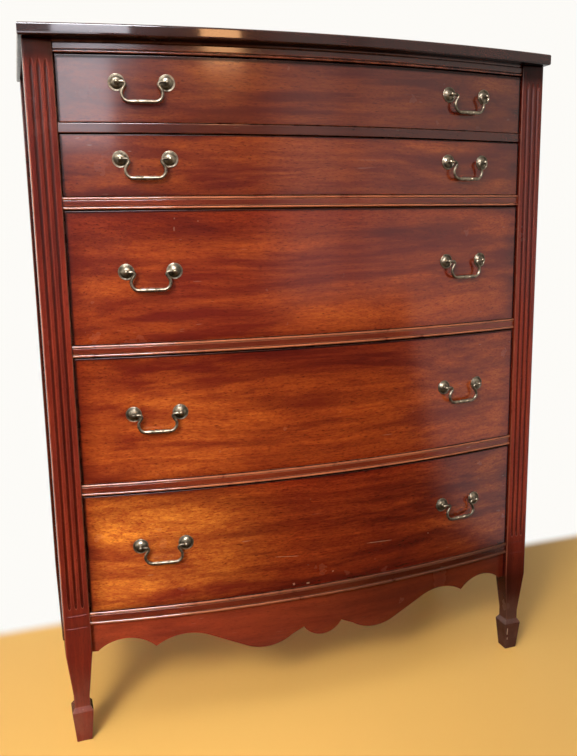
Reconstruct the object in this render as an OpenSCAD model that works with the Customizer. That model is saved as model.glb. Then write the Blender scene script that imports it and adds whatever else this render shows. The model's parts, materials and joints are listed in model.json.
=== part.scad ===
// Bow-front chest of five drawers on square tapered legs with spade feet and bail pulls.
// Sizes are in millimetres. The chest stands on z = 0, faces -Y, and its overall width and depth are
// centred on the origin. One curve runs through the drawer fronts and rails; its axis is behind the chest.

/* [Case] */
// Width over the posts
case_w = 914; // [760:1:1100]
// Depth from the front of the posts to the back
case_d = 406.5; // [340:0.5:520]
// Height of the bottom rail's underside above the floor
leg_h = 217; // [190:1:300]

/* [Top board] */
// Thickness of the top board
top_t = 18.5; // [14:0.5:28]
// Overhang past the posts at each side
top_side_overhang = 5.5; // [3:0.5:20]
// Overhang past the posts at the front corners
top_front_overhang = 13.5; // [8:0.5:30]
// Rise of the top board's curved front edge
top_bow = 47; // [35:1:60]

/* [Posts and legs] */
// Width of a post, seen from the front
post_w = 44; // [38:0.5:56]
// Depth of a post, front to back
post_d = 41; // [38:0.5:56]
// How far a front post stands in front of the drawer ends
post_proud = 4.5; // [2:0.5:8]
// Radius of a post's eased upright edges
post_edge_r = 2; // [0.5:0.5:4]
// Distance from the bottom rail's underside to where the leg starts to taper
taper_drop = 49; // [30:1:70]
// Width of the leg at the ankle
ankle_w = 26; // [20:0.5:32]
// Height of the ankle's upper end above the floor
ankle_z = 84; // [80:1:100]
// Width of a rear leg at the floor
rear_foot_w = 29; // [22:0.5:36]
// How far a rear leg draws in on its outer side
rear_leg_inset = 4; // [0:0.5:6]

/* [Spade feet] */
// Width of the foot at its collar
collar_w = 36; // [33:0.5:38]
// Height of the collar's widest line above the floor
collar_z = 58; // [45:1:62]
// Height of the collar's bevel
collar_bevel_h = 8; // [4:0.5:12]
// Width of the foot at the floor
foot_w = 25.5; // [20:0.5:32]

/* [Flutes] */
// Number of flutes on a front post
flute_count = 3; // [1:1:3]
// Spacing of the flutes
flute_pitch = 10.6; // [9:0.1:12]
// Radius of the flute's hollow
flute_r = 3.25; // [2.5:0.05:4]
// Depth of the flute
flute_depth = 2; // [1:0.1:2.4]
// Length of the pointed run-out at each end
flute_runout = 14; // [6:1:24]
// Distance from the case top to a flute's upper tip
flute_top_margin = 28; // [15:1:60]
// Distance from the bottom rail's upper edge to a flute's lower tip
flute_bottom_margin = 11; // [5:1:40]
// Width of the two scribed lines at the bottom rail's height
scribe_w = 0.8; // [0.4:0.1:1.5]
// Depth of the scribed lines
scribe_depth = 0.5; // [0.3:0.1:1]

/* [Bow front] */
// Rise of the curve through the drawer fronts, over the width between the posts
bow_rise = 41; // [25:1:55]
// Height of the opening for drawer 1, at the top
opening_1_h = 102.2; // [85:0.1:140]
// Height of the opening for drawer 2
opening_2_h = 96.8; // [85:0.1:140]
// Height of the opening for drawer 3
opening_3_h = 214.7; // [120:0.1:260]
// Height of the opening for drawer 4
opening_4_h = 214.2; // [120:0.1:260]
// Height of the opening for drawer 5, at the bottom
opening_5_h = 208; // [120:0.1:260]

/* [Rails] */
// Height of the top rail
top_rail_h = 18.5; // [16:0.5:26]
// Height of the plain rail between drawers 1 and 2
rail_1_h = 14.8; // [12:0.1:20]
// Height of each beaded rail between the lower drawers
beaded_rail_h = 19; // [15:0.1:24]
// Height of the bottom rail
bottom_rail_h = 22.5; // [18:0.5:30]
// Width of the beads on the rails between drawers
bead_w = 4; // [3:0.1:5]
// Width of the beads on the bottom rail
bottom_bead_w = 5; // [3:0.1:6]
// How far a bead stands proud of the bow
bead_proud = 1; // [0.5:0.1:1.5]
// Width of the groove beside a bead
quirk_w = 0.9; // [0.5:0.1:1.5]
// Depth of the groove beside a bead
quirk_depth = 0.8; // [0.4:0.1:1.5]
// Height of the thin strip above the top rail's raised band
top_strip_h = 3.2; // [2:0.1:4]
// How far the top rail's band stands proud of the bow
band_proud = 1.2; // [0.5:0.1:2]
// Length of the tenons on the rails
tenon_len = 18; // [10:1:22]
// Thickness of the tenons
tenon_t = 8; // [5:0.5:9]

/* [Apron] */
// Thickness of the apron
apron_t = 20; // [12:1:26]
// How far the apron's face lies behind the bow
apron_recess = 8; // [3:0.5:10]
// Drop of the apron's ends beside the legs
apron_end_drop = 55; // [50:0.5:60]
// Width of the flat end beside the leg
apron_end_w = 10; // [4:1:14]
// Distance from a post to the middle of the outer arch
outer_arch_x = 59; // [56:0.5:62]
// Radius of the outer arch
outer_arch_r = 70; // [66:0.5:74]
// Depth of solid apron above the outer arch
outer_arch_top = 35.5; // [32:0.5:38]
// Distance from a post to the middle of the inner arch
inner_arch_x = 163; // [158:0.5:168]
// Radius of the inner arch
inner_arch_r = 93; // [88:0.5:98]
// Depth of solid apron above the inner arch
inner_arch_top = 38.7; // [35:0.1:42]
// Distance from the middle of the chest to the lowest point of a wide lobe
lobe_x = 109; // [104:0.5:112]
// Radius of a wide lobe
lobe_r = 85; // [80:0.5:88]
// Drop of a wide lobe below the bottom rail
lobe_drop = 86; // [82:0.5:90]
// Width of a wide lobe's curve on its inner side
lobe_inner_w = 49; // [44:0.5:54]
// Half the width of the small middle lobe
mid_lobe_half_w = 37; // [32:0.5:40]
// Drop of the small middle lobe below the bottom rail
mid_lobe_drop = 80.5; // [76:0.5:86]
// Drop of the points beside the middle lobe
mid_cusp_drop = 59.8; // [56:0.1:64]

/* [Drawer boxes] */
// Thickness of the curved drawer front
front_t = 22; // [18:0.5:26]
// Thickness of the drawer sides
side_t = 12; // [9:0.5:14]
// Thickness of the drawer back
back_t = 12; // [9:0.5:14]
// Thickness of the drawer bottom
bottom_t = 6; // [4:0.5:8]
// Height of the bottom panel above the sides' lower edges
bottom_up = 10; // [8:0.5:14]
// Depth of the grooves that hold the bottom panel
groove_d = 6; // [4:0.5:7]
// How far the sides stop below the top of the drawer front
side_drop = 8; // [4:0.5:14]
// Length of the dovetails let into the drawer front
tail_len = 13; // [9:0.5:15]
// Spacing wished for between dovetails
tail_pitch = 36; // [28:1:48]
// Slope of a dovetail, in degrees
tail_slope = 9; // [6:1:12]
// Gap between the drawer box and the rails across the back
drawer_back_gap = 5; // [2:0.5:20]

/* [Pulls] */
// Distance from the middle of the chest to the middle of a pull
pull_x = 285.5; // [220:0.5:310]
// Height of the pull's posts above the middle of the drawer front
pull_rise = 9.5; // [4:0.5:14]
// Spacing of the pull's two posts
pull_spacing = 76.2; // [70:0.1:96]
// Height of the bail's pivot line above the drawer front
pivot_h = 10; // [9:0.5:13]
// Diameter of the bail's pivot pins
pivot_d = 3; // [2.4:0.1:3.4]
// Thickness of the bail's arms
bail_d = 3.6; // [3:0.1:4.2]
// Radius of the bend below the pivot
neck_r = 4; // [3:0.5:5]
// Radius of the lower bend
corner_r = 12; // [10:0.5:14]
// Straight length between the two bends
swan_len = 5; // [3:0.5:7]
// Turn of each bend, in degrees
swan_turn = 125; // [115:1:130]
// Length of the bail from the post to the first bend
pivot_arm = 9; // [8:0.5:10]
// Diameter of the grip between its collars
grip_d = 5.6; // [4.8:0.1:6]
// Thickness of the bail's arms where they meet the collars
arm_end_d = 5; // [4.3:0.1:5.4]
// Diameter of the grip's collars
grip_collar_d = 6.2; // [5.8:0.1:6.6]
// Thickness of the grip's collars
grip_collar_t = 1.2; // [0.8:0.1:2]
// Length of the grip between its collars
grip_len = 14; // [10:0.5:18]
// Diameter of the rosette
rosette_d = 26; // [22:0.5:30]
// Diameter of the rosette's dome
dome_d = 20; // [16:0.5:20]
// Height of the dome above the flange
dome_h = 4; // [3:0.1:4.5]
// Thickness of the rosette's flange
flange_t = 1.2; // [0.8:0.1:1.5]
// Diameter of the ball on the post
ball_d = 7.2; // [6.4:0.1:7.6]
// Radius of the raised rim round the rosette
rosette_rim_r = 0.8; // [0.5:0.1:1]
// Diameter of the post's seat on the dome
post_seat_d = 6.5; // [5.6:0.1:7]
// Height of the post's seat on the dome
post_seat_h = 1.2; // [0.8:0.1:1.6]
// Diameter of the post's neck below the ball
post_neck_d = 4.5; // [3.6:0.1:5]
// Diameter of the post's threaded shank
shank_d = 4; // [3:0.1:4.4]
// Length of thread left past the nut
shank_end = 3; // [1:0.5:6]
// Width of the square nut
nut_w = 9; // [8:0.5:11]
// Thickness of the square nut
nut_t = 3.2; // [2.5:0.1:5]

/* [Inside the case] */
// Thickness of the side panels
panel_t = 16; // [12:0.5:18]
// How far a side panel lies behind the posts' outer faces
panel_recess = 5; // [2:0.5:8]
// Drop of the side panels below the bottom rail
panel_drop = 45; // [20:1:48]
// Thickness of the side panels' tongues
tongue_t = 6; // [4:0.5:8]
// Length of the side panels' tongues
tongue_len = 8; // [5:0.5:10]
// Thickness of the back panel
back_panel_t = 5; // [3:0.5:8]
// Width of the rebate that holds the back panel
rebate_w = 17; // [10:1:22]
// Height of the two rails across the back
back_rail_h = 45; // [30:1:60]
// Thickness of the two rails across the back
back_rail_t = 16; // [12:1:24]
// Width of a runner, from the side panel inwards
runner_w = 60; // [48:1:80]
// Height of the guides beside the drawers
guide_h = 25; // [15:1:40]
// Width of a drawer stop
stop_w = 30; // [20:1:40]
// Depth of a drawer stop, front to back
stop_d = 12; // [8:1:16]
// Height of a drawer stop
stop_h = 6; // [4:0.5:7]
// Distance from the middle of the chest to a drawer stop
stop_x = 190; // [120:1:230]
// Diameter of the screws that hold the top board
screw_d = 4; // [3:0.5:5]
// Diameter of the screws' heads
screw_head_d = 8; // [6:0.5:10]
// Height of the screws' heads
screw_head_h = 2.6; // [2:0.1:3.5]
// Distance from the inside of the side panels to the screws
screw_inset = 48; // [12:1:50]
// Depth of the screws in the top board
screw_bite = 12; // [8:0.5:13]
// Number of screws along each side of the top board
screw_count = 3; // [2:1:4]

/* [Fits and clearances] */
// Gap between a drawer front and the posts
side_gap = 1.5; // [0.8:0.1:2.5]
// Gap above a drawer front
top_gap = 2.2; // [1:0.1:3]
// Gap below a drawer front
bottom_gap = 1; // [0.6:0.1:2]
// Gap between a drawer side and its runner
run_gap = 0.3; // [0.2:0.1:0.5]
// Gap between a drawer side and its guide
guide_gap = 1; // [0.5:0.1:2]
// Gap between a drawer front and its stops
stop_gap = 0.3; // [0.2:0.1:0.5]
// Clearance all round a tenon or tongue
joint_gap = 0.1; // [0.05:0.05:0.3]
// Clearance round a bail's pivot pin, on the radius
pivot_gap = 0.05; // [0.02:0.01:0.1]
// Clearance round a bolt or screw in its hole, on the radius
bolt_gap = 0.3; // [0.2:0.05:0.5]
// Clearance round a thread in its nut or pilot hole, on the radius
thread_gap = 0.05; // [0.02:0.01:0.1]

/* [Hidden] */

mahogany = "#6e2b1b";
mahogany_dark = "#3d1b15";
veneer = "#8a3a20";
drawer_wood = "#b88c5c";
antique_brass = "#8c7d52";
steel = "#9a9a96";

LEFT = -1;
RIGHT = 1;
DRAWERS = [1, 2, 3, 4, 5];
bow_fn = 720;
round_fn = 48;
seam_cover = 0.1;
pin_reach = 1.2;
pin_shoulder_gap = 0.35;
past = 1;
arc_steps = 10;
spare_angle = 1;

rail_h = [top_rail_h, rail_1_h, beaded_rail_h, beaded_rail_h, beaded_rail_h, bottom_rail_h];
opening_h = [opening_1_h, opening_2_h, opening_3_h, opening_4_h, opening_5_h];

// Underside of the opening for drawer k, counted up from the bottom rail
function opening_z(k) = k == len(opening_h)
    ? leg_h + bottom_rail_h
    : opening_z(k + 1) + opening_h[k] + rail_h[k];
// Underside of rail k, where 0 is the top rail and the last is the bottom rail
function rail_z(k) = k == 0 ? opening_z(1) + opening_h[0] : opening_z(k) - rail_h[k];

case_top_z = rail_z(0) + top_rail_h;
opening_w = case_w - 2 * post_w;
overall_d = case_d + top_front_overhang + top_bow;
back_y = overall_d / 2;
post_front_y = back_y - case_d;
post_back_y = post_front_y + post_d;
rear_post_y = back_y - post_d;
post_x = case_w / 2 - post_w / 2;

// Radius of an arc from its chord and its rise
function arc_radius(chord, rise) = (chord * chord / 4 + rise * rise) / (2 * rise);
bow_r = arc_radius(opening_w, bow_rise);
bow_edge_y = post_front_y + post_proud;
bow_axis_y = bow_edge_y - bow_rise + bow_r;
bow_half_angle = asin(opening_w / 2 / bow_r) + spare_angle;
// Depth position of the bow's curve, shifted back by an inset, at a distance x from the middle
function bow_y(x, inset) = bow_axis_y - sqrt(pow(bow_r - inset, 2) - x * x);

top_w = case_w + 2 * top_side_overhang;
top_r = arc_radius(top_w, top_bow);

panel_out_x = case_w / 2 - panel_recess;
panel_in_x = panel_out_x - panel_t;
panel_z = leg_h - panel_drop;
back_panel_y = back_y - back_panel_t;

box_out_x = opening_w / 2 - side_gap;
box_in_x = box_out_x - side_t;
shoulder_y = bow_y(box_in_x, front_t);
box_back_y = back_panel_y - back_rail_t - drawer_back_gap;
function front_z(k) = opening_z(k) + bottom_gap;
function front_h(k) = opening_h[k - 1] - bottom_gap - top_gap;
function side_z(k) = opening_z(k) + run_gap;
function side_h(k) = front_z(k) + front_h(k) - side_drop - side_z(k);
function bottom_z(k) = side_z(k) + bottom_up;

pull_a = asin(pull_x / bow_r);
post_a = asin(pull_spacing / 2 / bow_r);
ball_half_x = (bow_r + pivot_h) * sin(post_a);
pivot_out = (bow_r + pivot_h) * cos(post_a) - bow_r;
function pull_z(k) = front_z(k) + front_h(k) / 2 + pull_rise;

// A box from its lowest corner to its highest corner
module block(low, high) {
    translate(low) cube(high - low);
}

// A block mirrored to the left or right side of the chest, with its x values given for the right
module side_block(side, low, high) {
    mirror([side == LEFT ? 1 : 0, 0, 0]) block(low, high);
}

// A slab whose front follows the bow, from the inset curve back to the plane y = rear
module bow_slab(inset, rear, half_w, z, h) {
    front = bow_edge_y - bow_rise - past;
    translate([0, 0, z]) linear_extrude(h) intersection() {
        translate([0, bow_axis_y]) circle(r = bow_r - inset, $fn = bow_fn);
        translate([-half_w, front]) square([2 * half_w, rear - front]);
    }
}

// The space behind the bow's curve at a given inset
module behind_bow(inset, z, h) {
    translate([0, bow_axis_y, z]) cylinder(h = h, r = bow_r - inset, $fn = bow_fn);
}

// Places children on the bow's face at an angle round its axis, with -Y pointing out of the face
module on_bow(angle, z) {
    translate([0, bow_axis_y, z]) rotate([0, 0, angle]) translate([0, -bow_r, 0]) children();
}

// A board under the moulding, curved at the front, with its ends square to the sides
module top_board() {
    front_y = post_front_y - top_front_overhang;
    color(mahogany_dark) difference() {
        translate([0, 0, case_top_z]) linear_extrude(top_t) intersection() {
            translate([0, front_y - top_bow + top_r]) circle(r = top_r, $fn = bow_fn);
            translate([-top_w / 2, -overall_d / 2 - past])
                square([top_w, overall_d + past]);
        }
        at_screws() cylinder(h = screw_bite, d = screw_d + 2 * thread_gap, $fn = round_fn);
    }
}

// Places children at each top screw, at the underside of the top board
module at_screws() {
    pitch = (rear_post_y - post_back_y) / screw_count;
    for (side = [LEFT, RIGHT], i = [0 : screw_count - 1])
        translate([side * (panel_in_x - screw_inset), post_back_y + (i + 0.5) * pitch, case_top_z])
            children();
}

// Half-width outline of a front post from the floor up: foot, bevelled collar, ankle, taper, shaft
function front_leg_outline(section) = let (
    right = [
        [foot_w / 2, 0],
        [collar_w / 2, collar_z],
        [ankle_w / 2, collar_z + collar_bevel_h],
        [ankle_w / 2, ankle_z],
        [section / 2, leg_h - taper_drop],
        [section / 2, case_top_z]
    ]
) concat(right, [for (i = [len(right) - 1 : -1 : 0]) [-right[i][0], right[i][1]]]);

// A square post of two crossed outlines, with eased upright edges, centred on its own axis
module crossed_post(front_outline, side_outline) {
    intersection() {
        translate([0, post_d / 2 + past, 0]) rotate([90, 0, 0])
            linear_extrude(post_d + 2 * past) polygon(front_outline);
        rotate([90, 0, 90]) translate([0, 0, -post_w / 2 - past])
            linear_extrude(post_w + 2 * past) polygon(side_outline);
        linear_extrude(case_top_z) eased_section();
    }
}

// A post's section: a rectangle with quarter-round corners
module eased_section() {
    r = post_edge_r;
    union() {
        translate([-post_w / 2 + r, -post_d / 2]) square([post_w - 2 * r, post_d]);
        translate([-post_w / 2, -post_d / 2 + r]) square([post_w, post_d - 2 * r]);
        for (x = [-1, 1], y = [-1, 1])
            translate([x * (post_w / 2 - r), y * (post_d / 2 - r)]) circle(r = r, $fn = round_fn);
    }
}

// The tool that hollows one flute: a rod whose two ends taper until they leave the face
module flute_cutter() {
    tip_r = flute_r - flute_depth;
    low = leg_h + bottom_rail_h + flute_bottom_margin;
    high = case_top_z - flute_top_margin;
    translate([0, post_front_y - tip_r, low]) {
        cylinder(h = flute_runout, r1 = tip_r, r2 = flute_r, $fn = round_fn);
        translate([0, 0, flute_runout])
            cylinder(h = high - low - 2 * flute_runout, r = flute_r, $fn = round_fn);
        translate([0, 0, high - low - flute_runout])
            cylinder(h = flute_runout, r1 = flute_r, r2 = tip_r, $fn = round_fn);
    }
}

// Fluted front post and leg in one piece, mortised for the rails and grooved for the side panel
module front_post(side) {
    color(mahogany) difference() {
        translate([side * post_x, (post_front_y + post_back_y) / 2, 0])
            crossed_post(front_leg_outline(post_w), front_leg_outline(post_d));
        for (i = [0 : flute_count - 1])
            translate([side * post_x + (i - (flute_count - 1) / 2) * flute_pitch, 0, 0]) flute_cutter();
        for (z = [leg_h, leg_h + bottom_rail_h])
            translate([side * post_x - post_w / 2 - past, post_front_y - past, z - scribe_w / 2])
                cube([post_w + 2 * past, past + scribe_depth, scribe_w]);
        for (k = [0 : len(rail_h) - 1]) rail_tenon(side, rail_z(k), rail_h[k], joint_gap);
        panel_tongue(side, post_back_y - tongue_len, post_back_y, joint_gap);
    }
}

// Rear post: straight above, drawn in below on the inner, front and back sides, rebated for the back panel
module rear_post(side) {
    color(mahogany) difference() {
        translate([side * post_x, (rear_post_y + back_y) / 2, 0]) mirror([side == LEFT ? 1 : 0, 0, 0])
            crossed_post(
                [
                    [-post_w / 2, case_top_z], [-post_w / 2, leg_h - taper_drop],
                    [post_w / 2 - rear_leg_inset - rear_foot_w, 0], [post_w / 2 - rear_leg_inset, 0],
                    [post_w / 2, leg_h - taper_drop], [post_w / 2, case_top_z]
                ],
                [
                    [-post_d / 2, case_top_z], [-post_d / 2, leg_h - taper_drop],
                    [post_d / 2 - rear_leg_inset - rear_foot_w, 0], [post_d / 2 - rear_leg_inset, 0],
                    [post_d / 2, leg_h - taper_drop], [post_d / 2, case_top_z]
                ]);
        side_block(side, [opening_w / 2 - past, back_panel_y, leg_h],
            [opening_w / 2 + rebate_w, back_y + past, case_top_z + past]);
        panel_tongue(side, rear_post_y, rear_post_y + tongue_len, joint_gap);
        for (z = back_rail_levels()) back_tenon(side, z, joint_gap);
    }
}

// The part of a rail that enters a front post
module rail_tenon(side, z, h, grow) {
    mid_y = (post_front_y + flute_depth + post_back_y) / 2;
    half_d = (post_d - flute_depth) / 4;
    mid_z = z + h / 2;
    side_block(side, [opening_w / 2 - past, mid_y - half_d - grow, mid_z - tenon_t / 2 - grow],
        [opening_w / 2 + tenon_len + grow, mid_y + half_d + grow, mid_z + tenon_t / 2 + grow]);
}

// A plain rail with a curved front, tenoned into both posts
module plain_rail(k) {
    bow_slab(0, post_back_y, opening_w / 2, rail_z(k), rail_h[k]);
    for (side = [LEFT, RIGHT]) rail_tenon(side, rail_z(k), rail_h[k], 0);
}

// Stretches of a rail's profile swept round the bow's axis and cut square at the posts
module swept_profile(z) {
    intersection() {
        translate([0, bow_axis_y, z])
            rotate_extrude(angle = 2 * bow_half_angle, start = 270 - bow_half_angle, $fn = bow_fn)
                children();
        block([-opening_w / 2, bow_edge_y - bow_rise - 2 * past - band_proud, z - past],
            [opening_w / 2, post_back_y, case_top_z + past]);
    }
}

// Section of a bead at height z above the rail's underside, with its round face standing proud
module bead_section(z, w) {
    translate([bow_r - w / 2 + bead_proud, z + w / 2]) circle(d = w, $fn = round_fn);
}

// Section of a groove whose lower edge is at height z
module quirk_section(z) {
    translate([bow_r - quirk_depth, z]) square([quirk_depth + past, quirk_w]);
}

// A rail with a bead along each edge and a groove inside each bead
module beaded_rail(k, bead) {
    h = rail_h[k];
    depth = post_back_y - bow_edge_y + bow_rise;
    color(mahogany) union() {
        swept_profile(rail_z(k)) union() {
            difference() {
                translate([bow_r - depth, 0]) square([depth, h]);
                translate([bow_r - bead / 2 + bead_proud, -past]) square([bead, bead + past]);
                translate([bow_r - bead / 2 + bead_proud, h - bead]) square([bead, bead + past]);
                quirk_section(bead);
                quirk_section(h - bead - quirk_w);
            }
            bead_section(0, bead);
            bead_section(h - bead, bead);
        }
        for (side = [LEFT, RIGHT]) rail_tenon(side, rail_z(k), h, 0);
    }
}

// Top rail: a thin strip, a raised flat band and a bead, parted by two grooves
module top_rail() {
    h = top_rail_h;
    depth = post_back_y - bow_edge_y + bow_rise;
    band_low = bead_w + quirk_w;
    band_high = h - top_strip_h - quirk_w;
    color(mahogany) union() {
        swept_profile(rail_z(0)) union() {
            difference() {
                translate([bow_r - depth, 0]) square([depth, h]);
                translate([bow_r - bead_w / 2 + bead_proud, -past]) square([bead_w, bead_w + past]);
                quirk_section(bead_w);
                quirk_section(band_high);
            }
            translate([bow_r - quirk_depth, band_low])
                square([quirk_depth + band_proud, band_high - band_low]);
            bead_section(0, bead_w);
        }
        for (side = [LEFT, RIGHT]) rail_tenon(side, rail_z(0), h, 0);
    }
}

module drawer_rail(k) {
    if (k == 1) color(mahogany) plain_rail(k);
    else beaded_rail(k, bead_w);
}

module bottom_rail() {
    beaded_rail(len(rail_h) - 1, bottom_bead_w);
}

// Points along an arc from one angle to another
function arc(c, r, from, to) = [
    for (i = [0 : arc_steps]) let (a = from + (to - from) * i / arc_steps) c + r * [cos(a), sin(a)]
];
// Angle of the point on a circle at a given x, on its upper (+1) or lower (-1) half
function angle_at(c, r, x, half) = half * acos((x - c[0]) / r);
// The upper point where two circles cross
function upper_meet(p, r, q, s) = let (
    d = norm(q - p), along = (r * r - s * s + d * d) / (2 * d), off = sqrt(r * r - along * along),
    u = (q - p) / d, v = [u[1], -u[0]], one = p + along * u + off * v, two = p + along * u - off * v
) one[1] > two[1] ? one : two;

// The right half of the apron's lower edge, from the middle outwards: small lobe, point, wide lobe,
// straight slope, inner arch, point, outer arch, flat end
function apron_half_edge() = let (
    end_x = opening_w / 2,
    mid_rise = mid_lobe_drop - mid_cusp_drop,
    mid_r = arc_radius(2 * mid_lobe_half_w, mid_rise),
    mid_c = [0, leg_h - mid_lobe_drop + mid_r],
    lobe_c = [lobe_x, leg_h - lobe_drop + lobe_r],
    inner_c = [end_x - inner_arch_x, leg_h - inner_arch_top - inner_arch_r],
    outer_c = [end_x - outer_arch_x, leg_h - outer_arch_top - outer_arch_r],
    across = lobe_c - inner_c,
    lean = atan2(across[1], across[0]) - acos((inner_arch_r + lobe_r) / norm(across)),
    meet = upper_meet(inner_c, inner_arch_r, outer_c, outer_arch_r),
    end_z = leg_h - apron_end_drop,
    outer_end = angle_at(outer_c, outer_arch_r, end_x - apron_end_w, 1)
) concat(
    arc(mid_c, mid_r, -90, angle_at(mid_c, mid_r, mid_lobe_half_w, -1)),
    arc(lobe_c, lobe_r, angle_at(lobe_c, lobe_r, lobe_x - lobe_inner_w, -1), lean - 180),
    arc(inner_c, inner_arch_r, lean, atan2(meet[1] - inner_c[1], meet[0] - inner_c[0])),
    arc(outer_c, outer_arch_r, atan2(meet[1] - outer_c[1], meet[0] - outer_c[0]), outer_end),
    [[end_x - apron_end_w, end_z], [end_x, end_z]]);

// Scalloped apron under the bottom rail, curved in plan
module front_apron() {
    half = apron_half_edge();
    low = leg_h - lobe_drop - past;
    edge = concat(
        [for (i = [len(half) - 1 : -1 : 1]) [-half[i][0], half[i][1]]],
        half,
        [[opening_w / 2, leg_h], [-opening_w / 2, leg_h]]);
    color(mahogany) intersection() {
        difference() {
            bow_slab(apron_recess, post_back_y, opening_w / 2, low, leg_h - low);
            behind_bow(apron_recess + apron_t, low - past, leg_h - low + 2 * past);
        }
        translate([0, post_back_y + past, 0]) rotate([90, 0, 0])
            linear_extrude(post_back_y - bow_edge_y + bow_rise + 2 * past) polygon(edge);
    }
}

// The tongue of a side panel between two depths, in the middle of the panel's thickness
module panel_tongue(side, from_y, to_y, grow) {
    mid_x = (panel_in_x + panel_out_x) / 2;
    side_block(side, [mid_x - tongue_t / 2 - grow, from_y - grow, panel_z - grow],
        [mid_x + tongue_t / 2 + grow, to_y + grow, case_top_z + (grow > 0 ? past : 0)]);
}

// Side panel, set back from the posts' outer faces and tongued into both posts
module side_panel(side) {
    color(mahogany) union() {
        side_block(side, [panel_in_x, post_back_y, panel_z], [panel_out_x, rear_post_y, case_top_z]);
        panel_tongue(side, post_back_y - tongue_len, rear_post_y + tongue_len, 0);
    }
}

// Thin back panel in the rebates of the rear posts
module back_panel() {
    half_w = opening_w / 2 + rebate_w - joint_gap;
    color(drawer_wood) block([-half_w, back_panel_y, leg_h], [half_w, back_y, case_top_z]);
}

// Undersides of the two rails across the back
function back_rail_levels() = [leg_h, case_top_z - back_rail_h];

// The part of a back rail that enters a rear post
module back_tenon(side, z, grow) {
    mid_y = back_panel_y - back_rail_t / 2;
    side_block(side,
        [opening_w / 2 - past, mid_y - tenon_t / 2 - grow, z + tenon_t - grow],
        [opening_w / 2 + tenon_len + grow, mid_y + tenon_t / 2 + grow, z + back_rail_h - tenon_t + grow]);
}

// Upper and lower rail across the back, in front of the back panel
module back_rails() {
    half_w = opening_w / 2;
    color(drawer_wood) for (z = back_rail_levels()) {
        block([-half_w, back_panel_y - back_rail_t, z], [half_w, back_panel_y, z + back_rail_h]);
        for (side = [LEFT, RIGHT]) back_tenon(side, z, 0);
    }
}

// Runners under the drawers, guides beside them and the kicker over the top drawer, on one side
module drawer_runners(side) {
    color(drawer_wood) {
        for (k = DRAWERS) {
            z = opening_z(k);
            side_block(side, [panel_in_x - runner_w, post_back_y, z - rail_h[k]],
                [panel_in_x, rear_post_y, z]);
            side_block(side, [box_out_x + guide_gap, post_back_y, z],
                [panel_in_x, rear_post_y, z + guide_h]);
        }
        difference() {
            side_block(side, [panel_in_x - runner_w, post_back_y, rail_z(0)],
                [panel_in_x, rear_post_y, case_top_z]);
            at_screws() translate([0, 0, -top_rail_h - past])
                cylinder(h = top_rail_h + 2 * past, d = screw_d + 2 * bolt_gap, $fn = round_fn);
        }
    }
}

// Small blocks on the rails that the closed drawer fronts come up against
module drawer_stops() {
    front = bow_y(stop_x + stop_w / 2, front_t) + stop_gap;
    color(drawer_wood) for (k = DRAWERS, side = [LEFT, RIGHT])
        side_block(side, [stop_x - stop_w / 2, front, opening_z(k)],
            [stop_x + stop_w / 2, front + stop_d, opening_z(k) + stop_h]);
}

// Screws up through the kickers into the top board
module top_screws() {
    color(steel) at_screws() {
        translate([0, 0, -top_rail_h - screw_head_h])
            cylinder(h = screw_head_h, d = screw_head_d, $fn = round_fn);
        translate([0, 0, -top_rail_h]) cylinder(h = top_rail_h + screw_bite, d = screw_d, $fn = round_fn);
    }
}

// The four corners of one dovetail in the (y, z) plane, from its shoulder at y out to its wide end
function tail(y, z, len, narrow) = let (wide = narrow + 2 * abs(len) * tan(tail_slope)) [
    [y, z - narrow / 2], [y + len, z - wide / 2], [y + len, z + wide / 2], [y, z + narrow / 2]
];

// Outline of a drawer side in the (y, z) plane: up the front with its dovetails, then down the back
function side_outline(k) = let (
    z = side_z(k),
    h = side_h(k),
    count = max(2, round(h / tail_pitch)),
    pitch = h / count,
    rear = box_back_y - back_t
) concat(
    [[shoulder_y, z]],
    [for (i = [0 : count - 1], p = tail(shoulder_y, z + (i + 0.5) * pitch, -tail_len, pitch / 2)) p],
    [[shoulder_y, z + h], [rear, z + h]],
    [for (i = [count - 1 : -1 : 0]) let (t = tail(rear, z + (i + 0.5) * pitch, back_t, pitch / 2))
        for (j = [3 : -1 : 0]) t[j]],
    [[rear, z]]);

// A drawer side before its groove is cut: a board with dovetails at the front and back
module side_blank(k, side) {
    mirror([side == LEFT ? 1 : 0, 0, 0]) translate([box_in_x, 0, 0]) rotate([90, 0, 90])
        linear_extrude(side_t) polygon(side_outline(k));
}

// Bottom panel: its front edge follows the bow and lies in grooves in the front and sides
module drawer_bottom(k) {
    color(drawer_wood) bow_slab(front_t - groove_d, box_back_y, box_in_x + groove_d, bottom_z(k), bottom_t);
}

// Curved drawer front with sockets for the dovetails, a groove for the bottom and holes for the pulls
module drawer_front(k) {
    color(veneer) difference() {
        bow_slab(0, shoulder_y, box_out_x, front_z(k), front_h(k));
        behind_bow(front_t, front_z(k) - past, front_h(k) + 2 * past);
        for (side = [LEFT, RIGHT]) side_blank(k, side);
        drawer_bottom(k);
        at_pull_posts(k) rotate([90, 0, 0]) translate([0, 0, -front_t - past])
            cylinder(h = front_t + 2 * past, d = shank_d + 2 * bolt_gap, $fn = round_fn);
    }
}

module drawer_side(k, side) {
    color(drawer_wood) difference() {
        side_blank(k, side);
        drawer_bottom(k);
    }
}

// Drawer back, standing on the bottom panel and dovetailed between the sides
module drawer_back(k) {
    z = bottom_z(k) + bottom_t;
    color(drawer_wood) difference() {
        block([-box_out_x, box_back_y - back_t, z], [box_out_x, box_back_y, side_z(k) + side_h(k)]);
        for (side = [LEFT, RIGHT]) side_blank(k, side);
    }
}

// Places children at the four pull posts of a drawer, square to the face, with -Y pointing out
module at_pull_posts(k) {
    for (side = [LEFT, RIGHT], end = [-1, 1]) on_bow(side * pull_a + end * post_a, pull_z(k)) children();
}

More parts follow.
